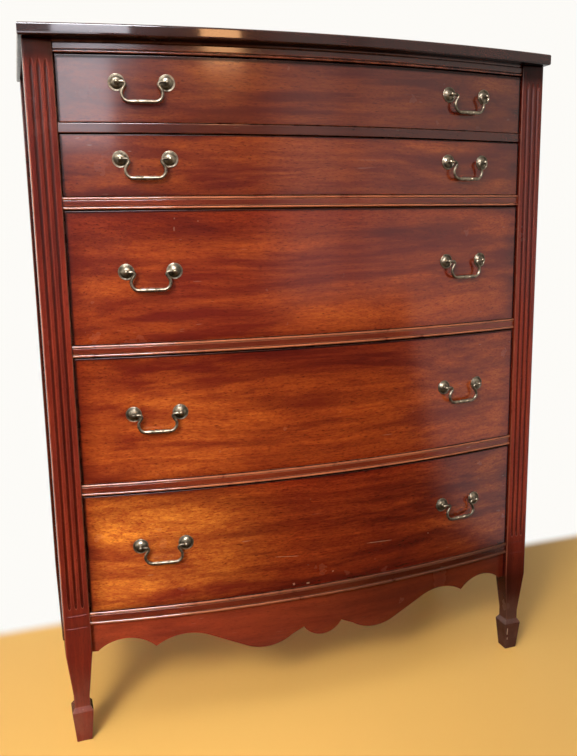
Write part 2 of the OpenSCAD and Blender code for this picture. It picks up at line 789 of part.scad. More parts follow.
// Domed rosette with a flat flange and a raised rim, drawn with +Z pointing out of the face
module rosette() {
    cap_r = arc_radius(dome_d, dome_h);
    rotate_extrude($fn = round_fn) difference() {
        union() {
            square([rosette_d / 2 - rosette_rim_r, flange_t]);
            translate([rosette_d / 2 - rosette_rim_r, flange_t - rosette_rim_r / 2])
                circle(r = rosette_rim_r, $fn = round_fn);
            intersection() {
                translate([0, flange_t + dome_h - cap_r]) circle(r = cap_r, $fn = 2 * round_fn);
                square([dome_d / 2, flange_t + dome_h]);
            }
        }
        translate([-past, -past]) square([past + shank_d / 2 + thread_gap, dome_h + flange_t + 2 * past]);
        translate([0, -past]) square([rosette_d, past]);
    }
}

// Post with a seat on the dome, a neck, a bored ball for the bail and a threaded shank
module pull_post(bore_side) {
    seat = flange_t + dome_h;
    shank_len = front_t + nut_t + shank_end;
    difference() {
        union() {
            translate([0, 0, seat]) cylinder(h = post_seat_h, d = post_seat_d, $fn = round_fn);
            translate([0, 0, seat]) cylinder(h = pivot_h - seat, d = post_neck_d, $fn = round_fn);
            translate([0, 0, pivot_h]) sphere(d = ball_d, $fn = round_fn);
            translate([0, 0, -shank_len]) cylinder(h = shank_len + seat, d = shank_d, $fn = round_fn);
        }
        translate([0, 0, pivot_h]) rotate([0, bore_side * (90 + post_a), 0])
            translate([0, 0, -pivot_d / 2])
            cylinder(h = ball_d, d = pivot_d + 2 * pivot_gap, $fn = round_fn);
    }
}

// Square nut against the inner face of the drawer front
module pull_nut() {
    translate([0, 0, -front_t - nut_t]) difference() {
        translate([-nut_w / 2, -nut_w / 2, 0]) cube([nut_w, nut_w, nut_t]);
        translate([0, 0, -past]) cylinder(h = nut_t + 2 * past, d = shank_d + 2 * thread_gap, $fn = round_fn);
    }
}

// The four rosettes, posts and nuts of one drawer
module drawer_pull_mounts(k) {
    color(antique_brass) for (side = [LEFT, RIGHT], end = [-1, 1])
        on_bow(side * pull_a + end * post_a, pull_z(k)) rotate([90, 0, 0]) {
            rosette();
            pull_post(-end);
            pull_nut();
        }
}

// Left half of a bail hanging in the XZ plane, drawn from its left pivot at the origin
module bail_half() {
    lean = swan_turn - 90;
    neck_c = [pivot_arm, -neck_r];
    neck_end = neck_c + neck_r * [cos(lean), -sin(lean)];
    swan_end = neck_end + swan_len * [-sin(lean), -cos(lean)];
    corner_c = swan_end + corner_r * [cos(lean), -sin(lean)];
    rotate([0, 90, 0]) pivot_pin();
    bend(neck_c, neck_r, -lean, swan_turn);
    translate([neck_end[0], 0, neck_end[1]]) rotate([0, 180 + lean, 0])
        cylinder(h = swan_len, d = bail_d, $fn = round_fn);
    bend(corner_c, corner_r, 180 - lean, swan_turn);
    for (p = [neck_end, swan_end])
        translate([p[0], 0, p[1]]) sphere(d = bail_d + seam_cover, $fn = round_fn);
    translate([corner_c[0], 0, corner_c[1] - corner_r]) rotate([0, 90, 0])
        grip_half(ball_half_x - corner_c[0]);
}

// Pivot pin inside the post's ball and the straight length beside it, along +Z
module pivot_pin() {
    shoulder = ball_d / 2 + pin_shoulder_gap;
    translate([0, 0, -pin_reach]) cylinder(h = pin_reach + shoulder, d = pivot_d, $fn = round_fn);
    translate([0, 0, shoulder]) cylinder(h = pivot_arm - shoulder, d = bail_d, $fn = round_fn);
}

// A round bar bent in the XZ plane about a centre, from one angle through a turn
module bend(c, r, from, turn) {
    translate([c[0], 0, c[1]]) rotate([90, 0, 0])
        rotate_extrude(angle = turn, start = from, $fn = round_fn * 2)
            translate([r, 0]) circle(d = bail_d, $fn = round_fn);
}

// Half of the grip along +Z: a swelling arm, a collar and half of the middle
module grip_half(len) {
    arm = len - grip_len / 2 - grip_collar_t;
    cylinder(h = arm, d1 = bail_d, d2 = arm_end_d, $fn = round_fn);
    translate([0, 0, arm]) cylinder(h = grip_collar_t, d = grip_collar_d, $fn = round_fn);
    translate([0, 0, arm + grip_collar_t]) cylinder(h = grip_len / 2, d = grip_d, $fn = round_fn);
}

// Swan-neck bail hanging from its two posts
module drawer_bail(k, side) {
    color(antique_brass) on_bow(side * pull_a, pull_z(k)) translate([0, -pivot_out, 0])
        for (m = [0, 1]) mirror([m, 0, 0]) translate([-ball_half_x, 0, 0]) bail_half();
}

// One numbered piece of a drawer
module drawer_piece(k, piece) {
    if (piece == "front") drawer_front(k);
    if (piece == "left_side") drawer_side(k, LEFT);
    if (piece == "right_side") drawer_side(k, RIGHT);
    if (piece == "back") drawer_back(k);
    if (piece == "bottom") drawer_bottom(k);
    if (piece == "pull_mounts") drawer_pull_mounts(k);
    if (piece == "left_bail") drawer_bail(k, LEFT);
    if (piece == "right_bail") drawer_bail(k, RIGHT);
}

PIECES = ["front", "left_side", "right_side", "back", "bottom", "pull_mounts", "left_bail", "right_bail"];

top_board();
front_post(LEFT);  // left_front_post
front_post(RIGHT);  // right_front_post
rear_post(LEFT);  // left_rear_post
rear_post(RIGHT);  // right_rear_post
side_panel(LEFT);  // left_side_panel
side_panel(RIGHT);  // right_side_panel
back_panel();
back_rails();
top_rail();
drawer_rail(1);  // drawer_rail_1
drawer_rail(2);  // drawer_rail_2
drawer_rail(3);  // drawer_rail_3
drawer_rail(4);  // drawer_rail_4
bottom_rail();
front_apron();
drawer_runners(LEFT);  // left_drawer_runners
drawer_runners(RIGHT);  // right_drawer_runners
drawer_stops();
top_screws();
for (k = DRAWERS, piece = PIECES)
    drawer_piece(k, piece);
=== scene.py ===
"""Bow-front chest of five drawers in glossy mahogany, with bail pulls in antique brass.

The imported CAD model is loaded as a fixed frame. The show surfaces, which are the drawer fronts, rails,
posts, top, apron and pulls, are rebuilt here as fine surfaces with eased edges. The plain boards inside the
case stay CAD nodes and get a wood finish. All sizes are in metres, in the frame of the CAD model.
"""

import json
import logging
import math
from dataclasses import dataclass
from enum import Enum
from typing import Optional, Sequence

import bmesh
import bpy
import numpy as np
from mathutils import Matrix, Vector

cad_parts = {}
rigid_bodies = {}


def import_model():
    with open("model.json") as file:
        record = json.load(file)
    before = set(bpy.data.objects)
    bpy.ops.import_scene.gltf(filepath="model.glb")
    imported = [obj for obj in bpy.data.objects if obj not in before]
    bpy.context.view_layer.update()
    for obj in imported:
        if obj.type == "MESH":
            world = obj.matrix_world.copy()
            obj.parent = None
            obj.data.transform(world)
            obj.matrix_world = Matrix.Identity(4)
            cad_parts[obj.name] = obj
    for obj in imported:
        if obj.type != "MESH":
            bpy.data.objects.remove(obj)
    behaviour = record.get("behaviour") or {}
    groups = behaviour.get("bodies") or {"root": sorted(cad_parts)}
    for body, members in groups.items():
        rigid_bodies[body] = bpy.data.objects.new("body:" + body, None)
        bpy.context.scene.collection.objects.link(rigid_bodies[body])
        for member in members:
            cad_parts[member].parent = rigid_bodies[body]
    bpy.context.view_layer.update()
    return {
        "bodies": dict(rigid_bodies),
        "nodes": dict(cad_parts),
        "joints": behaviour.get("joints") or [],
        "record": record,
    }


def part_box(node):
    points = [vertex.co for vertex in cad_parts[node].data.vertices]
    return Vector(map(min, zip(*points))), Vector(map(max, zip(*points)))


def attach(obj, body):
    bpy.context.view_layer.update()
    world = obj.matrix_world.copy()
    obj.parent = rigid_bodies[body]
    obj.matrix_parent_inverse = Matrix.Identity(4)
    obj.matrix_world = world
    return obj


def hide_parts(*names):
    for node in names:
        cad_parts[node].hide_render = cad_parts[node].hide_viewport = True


LOG = logging.getLogger("chest")
Array = np.ndarray
Colour = tuple[float, float, float]
Place = tuple[float, float, float]
Nick = tuple[float, float, float, float, float]
Socket, Node, NodeTree = bpy.types.NodeSocket, bpy.types.Node, bpy.types.NodeTree
Material, Piece = bpy.types.Material, bpy.types.Object
MM = 0.001
UP = np.array([0.0, 0.0, 1.0])
# Where, from left to right, painted shade starts to darken the bottom rail and the apron, and where it is
# full.
RIGHT_SHADE_FROM_TO = (-0.26, 0.12)
WHITE = (1.0, 1.0, 1.0, 1.0)


class Grain(Enum):
    """The way a board's grain runs, as the Mapping rotation that lays it along the pattern's X."""

    ALONG_X = (0.0, 0.0, 0.0)
    ALONG_Y = (0.0, 0.0, -math.pi / 2)
    ALONG_Z = (0.0, math.pi / 2, 0.0)


class Moulding(Enum):
    """The forms of a rail's face."""

    BEADED = "beaded"
    PLAIN = "plain"
    TOP = "top"


class Side(Enum):
    """Left or right of the chest, as seen from the front."""

    LEFT = -1
    RIGHT = 1

    @property
    def word(self) -> str:
        """Returns the word used in node names."""
        return self.name.lower()


@dataclass(frozen=True)
class Bow:
    """The one curve, seen from above, that the drawer fronts, rails and apron follow.

    chord is the width between the posts, rise the height of the arc over it, and apex_y the y of its foremost
    point.
    """

    chord: float
    rise: float
    apex_y: float

    @property
    def radius(self) -> float:
        """Radius of the arc from its chord and rise."""
        return (self.chord**2 / 4 + self.rise**2) / (2 * self.rise)

    @property
    def axis_y(self) -> float:
        """The y of the arc's centre, behind the chest."""
        return self.apex_y + self.radius

    def y_at(self, x: Array, depth: Array) -> Array:
        """Gives y on the circle that lies a depth behind the show face.

        Args:
            x: distance from the middle of the chest.
            depth: how far behind the face the circle lies; a negative depth stands proud.

        Returns:
            The y of the circle of radius (radius - depth) at each x.
        """
        return self.axis_y - np.sqrt((self.radius - depth) ** 2 - x**2)

    def frame_at(self, angle: float) -> tuple[Array, Array, Array]:
        """Gives the face's place and directions at an angle round the arc's centre.

        Args:
            angle: angle in radians, positive to the right.

        Returns:
            The point on the face at z = 0, the unit tangent to the right and the unit normal outwards.
        """
        tangent = np.array([math.cos(angle), math.sin(angle), 0.0])
        outward = np.array([math.sin(angle), -math.cos(angle), 0.0])
        return np.array([0.0, self.axis_y, 0.0]) + self.radius * outward, tangent, outward


def columns(*parts: Array) -> Array:
    """Puts arrays side by side as the last axis of one array of points."""
    return np.stack(parts, -1)


def rounded_loop(corners: Array, radii: Array, steps: int = 4, support: float = 0.4 * MM,
                 divide: Optional[Sequence[int]] = None) -> tuple[Array, Array]:
    """Rounds the corners of closed outlines, each with a circular arc tangent to both sides.

    For a corner p with unit vectors u and w towards its neighbours and half angle h between them, the arc
    has its centre at p + r / sin(h) along the bisector and touches the sides r / tan(h) from p. A support
    point on each side of an arc keeps the flat beyond it flat when shaded smooth.

    Args:
        corners: array (..., n, 2) of outlines that share one topology.
        radii: array (..., n) of corner radii.
        steps: number of segments in each arc.
        support: distance of the support points from the arcs.
        divide: number of extra points on the side after each corner.

    Returns:
        The outlines as an array (..., m, 2), and for each point a wear weight, 1 in the middle of an arc.
    """
    count = corners.shape[-2]
    divide = [0] * count if divide is None else list(divide)
    before = np.roll(corners, 1, axis=-2) - corners
    after = np.roll(corners, -1, axis=-2) - corners
    u = before / np.linalg.norm(before, axis=-1, keepdims=True)
    w = after / np.linalg.norm(after, axis=-1, keepdims=True)
    half = 0.5 * np.arccos(np.clip((u * w).sum(-1), -0.9999, 0.9999))[..., None]
    r = np.maximum(radii, 1e-6)[..., None]
    reach = r / np.tan(half)
    bisector = (u + w) / np.linalg.norm(u + w, axis=-1, keepdims=True)
    centre = corners + bisector * r / np.sin(half)
    start = corners + u * reach - centre
    end = corners + w * reach - centre
    sweep = np.pi - 2 * half
    leads, tails = corners + u * (reach + support), corners + w * (reach + support)
    s = np.linspace(0, 1, steps + 1)[:, None]
    parts, weights = [], []
    for i in range(count):
        turn, first, last, middle, lead, tail = (
            field[..., i, None, :] for field in (sweep, start, end, centre, leads, tails))
        mix = (np.sin((1 - s) * turn) * first + np.sin(s * turn) * last) / np.sin(turn)
        parts += [lead, middle + mix, tail]
        weights += [np.zeros(1), np.sin(np.linspace(0, np.pi, steps + 1)) ** 0.5, np.zeros(1)]
        if divide[i]:
            t = np.linspace(0, 1, divide[i] + 2)[1:-1, None]
            parts.append(tail + (leads[..., (i + 1) % count, None, :] - tail) * t)
            weights.append(np.zeros(divide[i]))
    return np.concatenate(parts, axis=-2), np.concatenate(weights)


class Skin:
    """Collects surfaces on grids and makes one closed mesh object of them.

    Each point has three weights for the finish: wear for rubbed edges, one for the toned border with the
    painted shade towards a drawer's right, and one for painted shade in gaps, grooves, hollows, under
    overhangs and towards the right. Any of them may be given with a surface, and the rest are 0.
    """

    def __init__(self) -> None:
        """Starts with no surfaces."""
        self.points: list[Array] = []
        self.faces: list[tuple[int, ...]] = []
        self.weights: dict[str, list[Array]] = {"wear": [], "shade": [], "grime": []}
        self.count = 0

    def add(self, points: Array, faces: Sequence[tuple[int, ...]], **weights: Array | float) -> None:
        """Adds points and the faces among them.

        Args:
            points: array (k, m, 3).
            faces: index tuples into points.
            weights: wear, the toned border with its painted shade, and painted shade, each broadcast over (k,
                m).
        """
        self.points.append(points.reshape(-1, 3))
        self.faces += [tuple(i + self.count for i in face) for face in faces]
        for key, kept in self.weights.items():
            kept.append(np.broadcast_to(weights.get(key, 0.0), points.shape[:-1]).ravel())
        self.count += len(self.points[-1])

    def loft(self, loops: Array, **weights: Array | float) -> None:
        """Joins closed loops of equal length into a tube, with flat caps at both ends.

        Args:
            loops: array (k, m, 3) of k loops of m points.
            weights: wear, the toned border with its painted shade, and painted shade, each broadcast over (k,
                m).
        """
        rows, cols = loops.shape[:2]
        i, j = np.meshgrid(np.arange(rows - 1), np.arange(cols), indexing="ij")
        caps = [tuple(range(cols - 1, -1, -1)), tuple(range((rows - 1) * cols, rows * cols))]
        self.add(loops, self.quads(i, j, i + 1, (j + 1) % cols, cols) + caps, **weights)

    @staticmethod
    def quads(i: Array, j: Array, below: Array, beside: Array, cols: int) -> list[tuple[int, ...]]:
        """Gives the faces of a grid.

        Args:
            i: row of each face's first corner.
            j: its column.
            below: the next row.
            beside: the next column.
            cols: number of columns in the grid.

        Returns:
            Index tuples in row order.
        """
        faces = columns(i * cols + j, below * cols + j, below * cols + beside, i * cols + beside)
        return [tuple(face) for face in faces.reshape(-1, 4).tolist()]

    def lathe(self, profile: Array, centre: Array, axis: Array, across: Array, turns: int,
              wear: Array | float) -> None:
        """Turns a closed profile of (radius, height) round an axis.

        Args:
            profile: array (m, 2) of radius and height; both ends lie on the axis.
            centre: the axis point at height 0.
            axis: unit vector of the height.
            across: unit vector square to the axis.
            turns: number of steps round the axis.
            wear: wear weight of each profile point.
        """
        other = np.cross(axis, across)
        a = np.linspace(0, 2 * np.pi, turns, endpoint=False)[:, None, None]
        ring = np.cos(a) * across + np.sin(a) * other
        loops = centre + profile[None, :, :1] * ring + profile[None, :, 1:] * axis
        rows, cols = loops.shape[:2]
        i, j = np.meshgrid(np.arange(rows), np.arange(cols - 1), indexing="ij")
        self.add(loops, self.quads(i, j, (i + 1) % rows, j + 1, cols), wear=wear)

    def finish(self, name: str, material: Material, sharp_deg: float = 40.0) -> Piece:
        """Makes the object: doubles merged, faces turned outwards, smooth but for sharp edges.

        Args:
            name: the object's name.
            material: its finish.
            sharp_deg: edges that turn by more than this are shaded sharp.

        Returns:
            The new object, linked to the scene.
        """
        mesh = bpy.data.meshes.new(name)
        mesh.from_pydata(np.concatenate(self.points).tolist(), [], self.faces)
        for key, values in self.weights.items():
            layer = mesh.attributes.new(key, "FLOAT", "POINT")
            layer.data.foreach_set("value", np.concatenate(values).astype(np.float32))
        sheet = bmesh.new()
        sheet.from_mesh(mesh)
        bmesh.ops.remove_doubles(sheet, verts=sheet.verts, dist=1e-6)
        bmesh.ops.recalc_face_normals(sheet, faces=sheet.faces)
        sheet.to_mesh(mesh)
        sheet.free()
        mesh.polygons.foreach_set("use_smooth", [True] * len(mesh.polygons))
        mesh.set_sharp_from_angle(angle=math.radians(sharp_deg))
        mesh.materials.append(material)
        thing = bpy.data.objects.new(name, mesh)
        bpy.context.scene.collection.objects.link(thing)
        return thing


def sweep_on_bow(bow: Bow, profile: Array, stations: Array, rear_y: float) -> Array:
    """Carries a profile of (depth, z) along the bow.

    A profile point at depth d follows the circle of radius (radius - d), and what would fall behind the plane
    y = rear_y is laid on that plane.

    Args:
        bow: the curve.
        profile: array (m, 2), or (k, m, 2) with a profile for each station.
        stations: array (k,) of x values.
        rear_y: the flat back.

    Returns:
        Loops as an array (k, m, 3).
    """
    profile = np.broadcast_to(profile, (len(stations),) + profile.shape[-2:])
    x = np.broadcast_to(stations[:, None], profile.shape[:2])
    y = np.minimum(bow.y_at(x, profile[..., 0]), rear_y)
    return columns(x, y, profile[..., 1])


class Tree:
    """Writes a shader node tree in short lines."""

    def __init__(self, tree: NodeTree) -> None:
        """Wraps a node tree."""
        self.tree = tree

    def node(self, kind: str, settings: Optional[dict] = None, **inputs: object) -> Node:
        """Adds a node.

        Args:
            kind: the node's type, without its ShaderNode prefix.
            settings: properties of the node.
            inputs: values, three-part colours or sockets for its inputs, named in lower case with
                underscores, or i0, i1 and so on by number.

        Returns:
            The new node.
        """
        made = self.tree.nodes.new("ShaderNode" + kind)
        for key, value in (settings or {}).items():
            setattr(made, key, value)
        for key, value in inputs.items():
            socket = self.find(made, key)
            if isinstance(value, Socket):
                self.tree.links.new(value, socket)
            else:
                socket.default_value = (*value, 1.0) if socket.type == "RGBA" else value
        return made

    @staticmethod
    def find(made: Node, key: str) -> Socket:
        """Finds an input by number (i0) or by its name in lower case with underscores."""
        if key[0] == "i" and key[1:].isdigit():
            return made.inputs[int(key[1:])]
        for socket in made.inputs:
            if socket.name.lower().replace(" ", "_") == key and socket.enabled:
                return socket
        raise KeyError(f"{made.bl_idname} has no input {key}")

    def math(self, operation: str, *values: object, clamp: bool = False) -> Socket:
        """Adds a Math node and returns its output."""
        inputs = {f"i{n}": v for n, v in enumerate(values)}
        return self.node("Math", {"operation": operation, "use_clamp": clamp}, **inputs).outputs[0]

    def times(self, first: object, second: object, clamp: bool = False) -> Socket:
        """Multiplies two values."""
        return self.math("MULTIPLY", first, second, clamp=clamp)

    def plus(self, first: object, second: object, clamp: bool = False) -> Socket:
        """Adds two values."""
        return self.math("ADD", first, second, clamp=clamp)

    def minus(self, first: object, second: object) -> Socket:
        """Subtracts the second value from the first."""
        return self.math("SUBTRACT", first, second)

    def most(self, first: object, second: object) -> Socket:
        """Takes the larger of two values."""
        return self.math("MAXIMUM", first, second)

    def weigh(self, masks: dict[str, Socket], weights: dict[str, float]) -> Socket:
        """Adds up the masks that weights names, each times its weight."""
        total, *parts = [self.times(masks[name], weight) for name, weight in weights.items()]
        for part in parts:
            total = self.plus(total, part)
        return total

    def blend(self, factor: object, first: object, second: object, mode: str = "MIX") -> Socket:
        """Adds a colour Mix node and returns its result."""
        settings = {"data_type": "RGBA", "blend_type": mode}
        return self.node("Mix", settings, i0=factor, i6=first, i7=second).outputs[2]

    def noise(self, vector: object, scale: float, detail: float = 2.0, rough: float = 0.5) -> Socket:
        """Adds a Noise Texture and returns its value."""
        return self.node("TexNoise", vector=vector, scale=scale, detail=detail, roughness=rough).outputs[0]

    def stretch(self, vector: object, along: float, across: float) -> Socket:
        """Scales a vector so that a pattern is drawn out along X."""
        scales = (along, across, across)
        return self.node("VectorMath", {"operation": "MULTIPLY"}, i0=vector, i1=scales).outputs[0]

    def ramp(self, value: object, low: float, high: float) -> Socket:
        """Maps a value smoothly from low..high to 0..1."""
        settings = {"interpolation_type": "SMOOTHSTEP"}
        return self.node("MapRange", settings, value=value, from_min=low, from_max=high).outputs[0]

    def group(self, tree: NodeTree, **inputs: object) -> Node:
        """Adds a use of a node group."""
        return self.node("Group", {"node_tree": tree}, **inputs)

    def weight(self, name: str) -> Socket:
        """Reads one of the weights that Skin stores at the points."""
        return self.node("Attribute", {"attribute_name": name}).outputs["Fac"]


def new_material(name: str) -> tuple[Material, Tree]:
    """Starts an empty node material, and gives it with its writer."""
    material = bpy.data.materials.new(name)
    material.use_nodes = True
    material.node_tree.nodes.clear()
    return material, Tree(material.node_tree)


def new_group(name: str, inputs: dict[str, object], outputs: dict[str, str]
              ) -> tuple[Tree, dict[str, Socket], Node]:
    """Starts a shader node group.

    Args:
        name: the group's name.
        inputs: the default of each input by name: a number, a colour, or None for a vector.
        outputs: the socket type of each output by name.

    Returns:
        A writer for the group, its inputs as sockets by name, and the node that takes its outputs.
    """
    group = bpy.data.node_groups.new(name, "ShaderNodeTree")
    for label, default in inputs.items():
        kind = {type(None): "Vector", tuple: "Color", float: "Float"}[type(default)]
        socket = group.interface.new_socket(name=label, in_out="INPUT", socket_type="NodeSocket" + kind)
        if default is not None:
            socket.default_value = default
    for label, kind in outputs.items():
        group.interface.new_socket(name=label, in_out="OUTPUT", socket_type="NodeSocket" + kind)
    source = group.nodes.new("NodeGroupInput")
    target = group.nodes.new("NodeGroupOutput")
    return Tree(group), {label: source.outputs[label] for label in inputs}, target


@dataclass(frozen=True)
class Layer:
    """One layer of marks: a noise drawn out along X, and the ramp that makes a mask of it.

    along and across are its scales, detail and rough its octaves and their strength, and low and high the
    ramp's ends.
    """

    along: float
    across: float
    detail: float
    rough: float
    low: float
    high: float

    def build(self, t: Tree, vector: Socket) -> Socket:
        """Adds the layer and returns its mask."""
        noise = t.noise(t.stretch(vector, self.along, self.across), 1.0, self.detail, self.rough)
        return t.ramp(noise, self.low, self.high)


class Effects:
    """The shader node groups that several finishes share.

    LAYERS are the layers of grain, and BEND the scales of the slow noise that bends them. TONE says how the
    clouds and bands set the wood's tone, LIFT how the finer figure lifts it towards the light colour, and
    PORE_DEPTH how dark a pore is. HAIR is the layer of short scratches.
    """

    LAYERS = {
        "cloud": Layer(2.6, 13.0, 4.0, 0.55, 0.34, 0.66),
        "bands": Layer(3.2, 48.0, 4.0, 0.6, 0.36, 0.64),
        "streaks": Layer(12.0, 200.0, 4.0, 0.65, 0.33, 0.68),
        "ribbon": Layer(55.0, 330.0, 3.0, 0.65, 0.38, 0.66),
        "pores": Layer(110.0, 900.0, 2.0, 0.5, 0.54, 0.72),
        "mottle": Layer(150.0, 420.0, 3.0, 0.6, 0.35, 0.65)}
    BEND = (3.0, 9.0)
    TONE = {"cloud": 0.55, "bands": 0.45}
    LIFT = {"ribbon": 0.35, "streaks": 0.40, "mottle": 0.35}
    LIFT_POWER = 1.5
    PORE_DEPTH = 0.35
    STREAK_HEIGHT = 0.25
    HAIR = Layer(18.0, 330.0, 0.0, 0.5, 0.80, 0.86)

    def __init__(self) -> None:
        """Builds every group once."""
        self.grain = self.make_grain()
        self.wear = self.make_edge_wear()
        self.marks = self.make_handling_marks()

    def make_grain(self) -> NodeTree:
        """Builds the grain of a plank that runs along X of its Vector.

        A slow noise bends the lines. Soft clouds and long level bands set the tone between Dark and Middle,
        streaks and a shorter ribbon figure lift it towards Light, and a very fine noise gives the open pores.

        Returns:
            The group, with Color and Height outputs.
        """
        t, given, target = new_group(
            "plank_grain",
            {"Vector": None, "Light": WHITE, "Middle": WHITE, "Dark": WHITE, "Figure": 0.5, "Pores": 0.5,
             "Wave": 0.02},
            {"Color": "Color", "Height": "Float"})
        bend = t.times(t.minus(t.noise(t.stretch(given["Vector"], *self.BEND), 1.0), 0.5), given["Wave"])
        shift = t.node("CombineXYZ", y=bend, z=bend)
        bent = t.node("VectorMath", {"operation": "ADD"}, i0=given["Vector"], i1=shift.outputs[0]).outputs[0]
        masks = {name: layer.build(t, bent) for name, layer in self.LAYERS.items()}
        tone = t.weigh(masks, self.TONE)
        lift = t.times(t.weigh(masks, self.LIFT), given["Figure"])
        lift = t.times(lift, t.math("POWER", tone, self.LIFT_POWER))
        colour = t.blend(lift, t.blend(tone, given["Dark"], given["Middle"]), given["Light"])
        pore_mask = t.times(masks["pores"], given["Pores"])
        colour = t.blend(pore_mask, colour, t.blend(self.PORE_DEPTH, given["Dark"], (0.0, 0.0, 0.0)))
        height = t.minus(t.times(masks["streaks"], self.STREAK_HEIGHT), pore_mask)
        t.tree.links.new(colour, target.inputs["Color"])
        t.tree.links.new(height, target.inputs["Height"])
        return t.tree

    @staticmethod
    def make_edge_wear() -> NodeTree:
        """Builds worn edges: the piece's wear weight, broken up by noise.

        Returns:
            The group, with a Mask output.
        """
        t, given, target = new_group(
            "edge_wear", {"Vector": None, "Weight": 0.0, "Amount": 0.5}, {"Mask": "Float"})
        patches = t.noise(given["Vector"], 38.0, 4.0, 0.6)
        broken = t.ramp(t.plus(patches, t.times(given["Amount"], 0.3)), 0.45, 0.75)
        mask = t.times(t.times(given["Weight"], broken), given["Amount"], clamp=True)
        t.tree.links.new(mask, target.inputs["Mask"])
        return t.tree

    def make_handling_marks(self) -> NodeTree:
        """Builds the faint marks of use: broad smudges, and short level scratches in a few places.

        Returns:
            The group, with Smudge and Scratch outputs.
        """
        t, given, target = new_group(
            "handling_marks", {"Vector": None}, {"Smudge": "Float", "Scratch": "Float"})
        smudge = t.ramp(t.noise(given["Vector"], 14.0, 4.0, 0.6), 0.35, 0.75)
        hair = self.HAIR.build(t, given["Vector"])
        rare = t.ramp(t.noise(given["Vector"], 7.0, 1.0), 0.52, 0.60)
        t.tree.links.new(smudge, target.inputs["Smudge"])
        t.tree.links.new(t.times(hair, rare), target.inputs["Scratch"])
        return t.tree


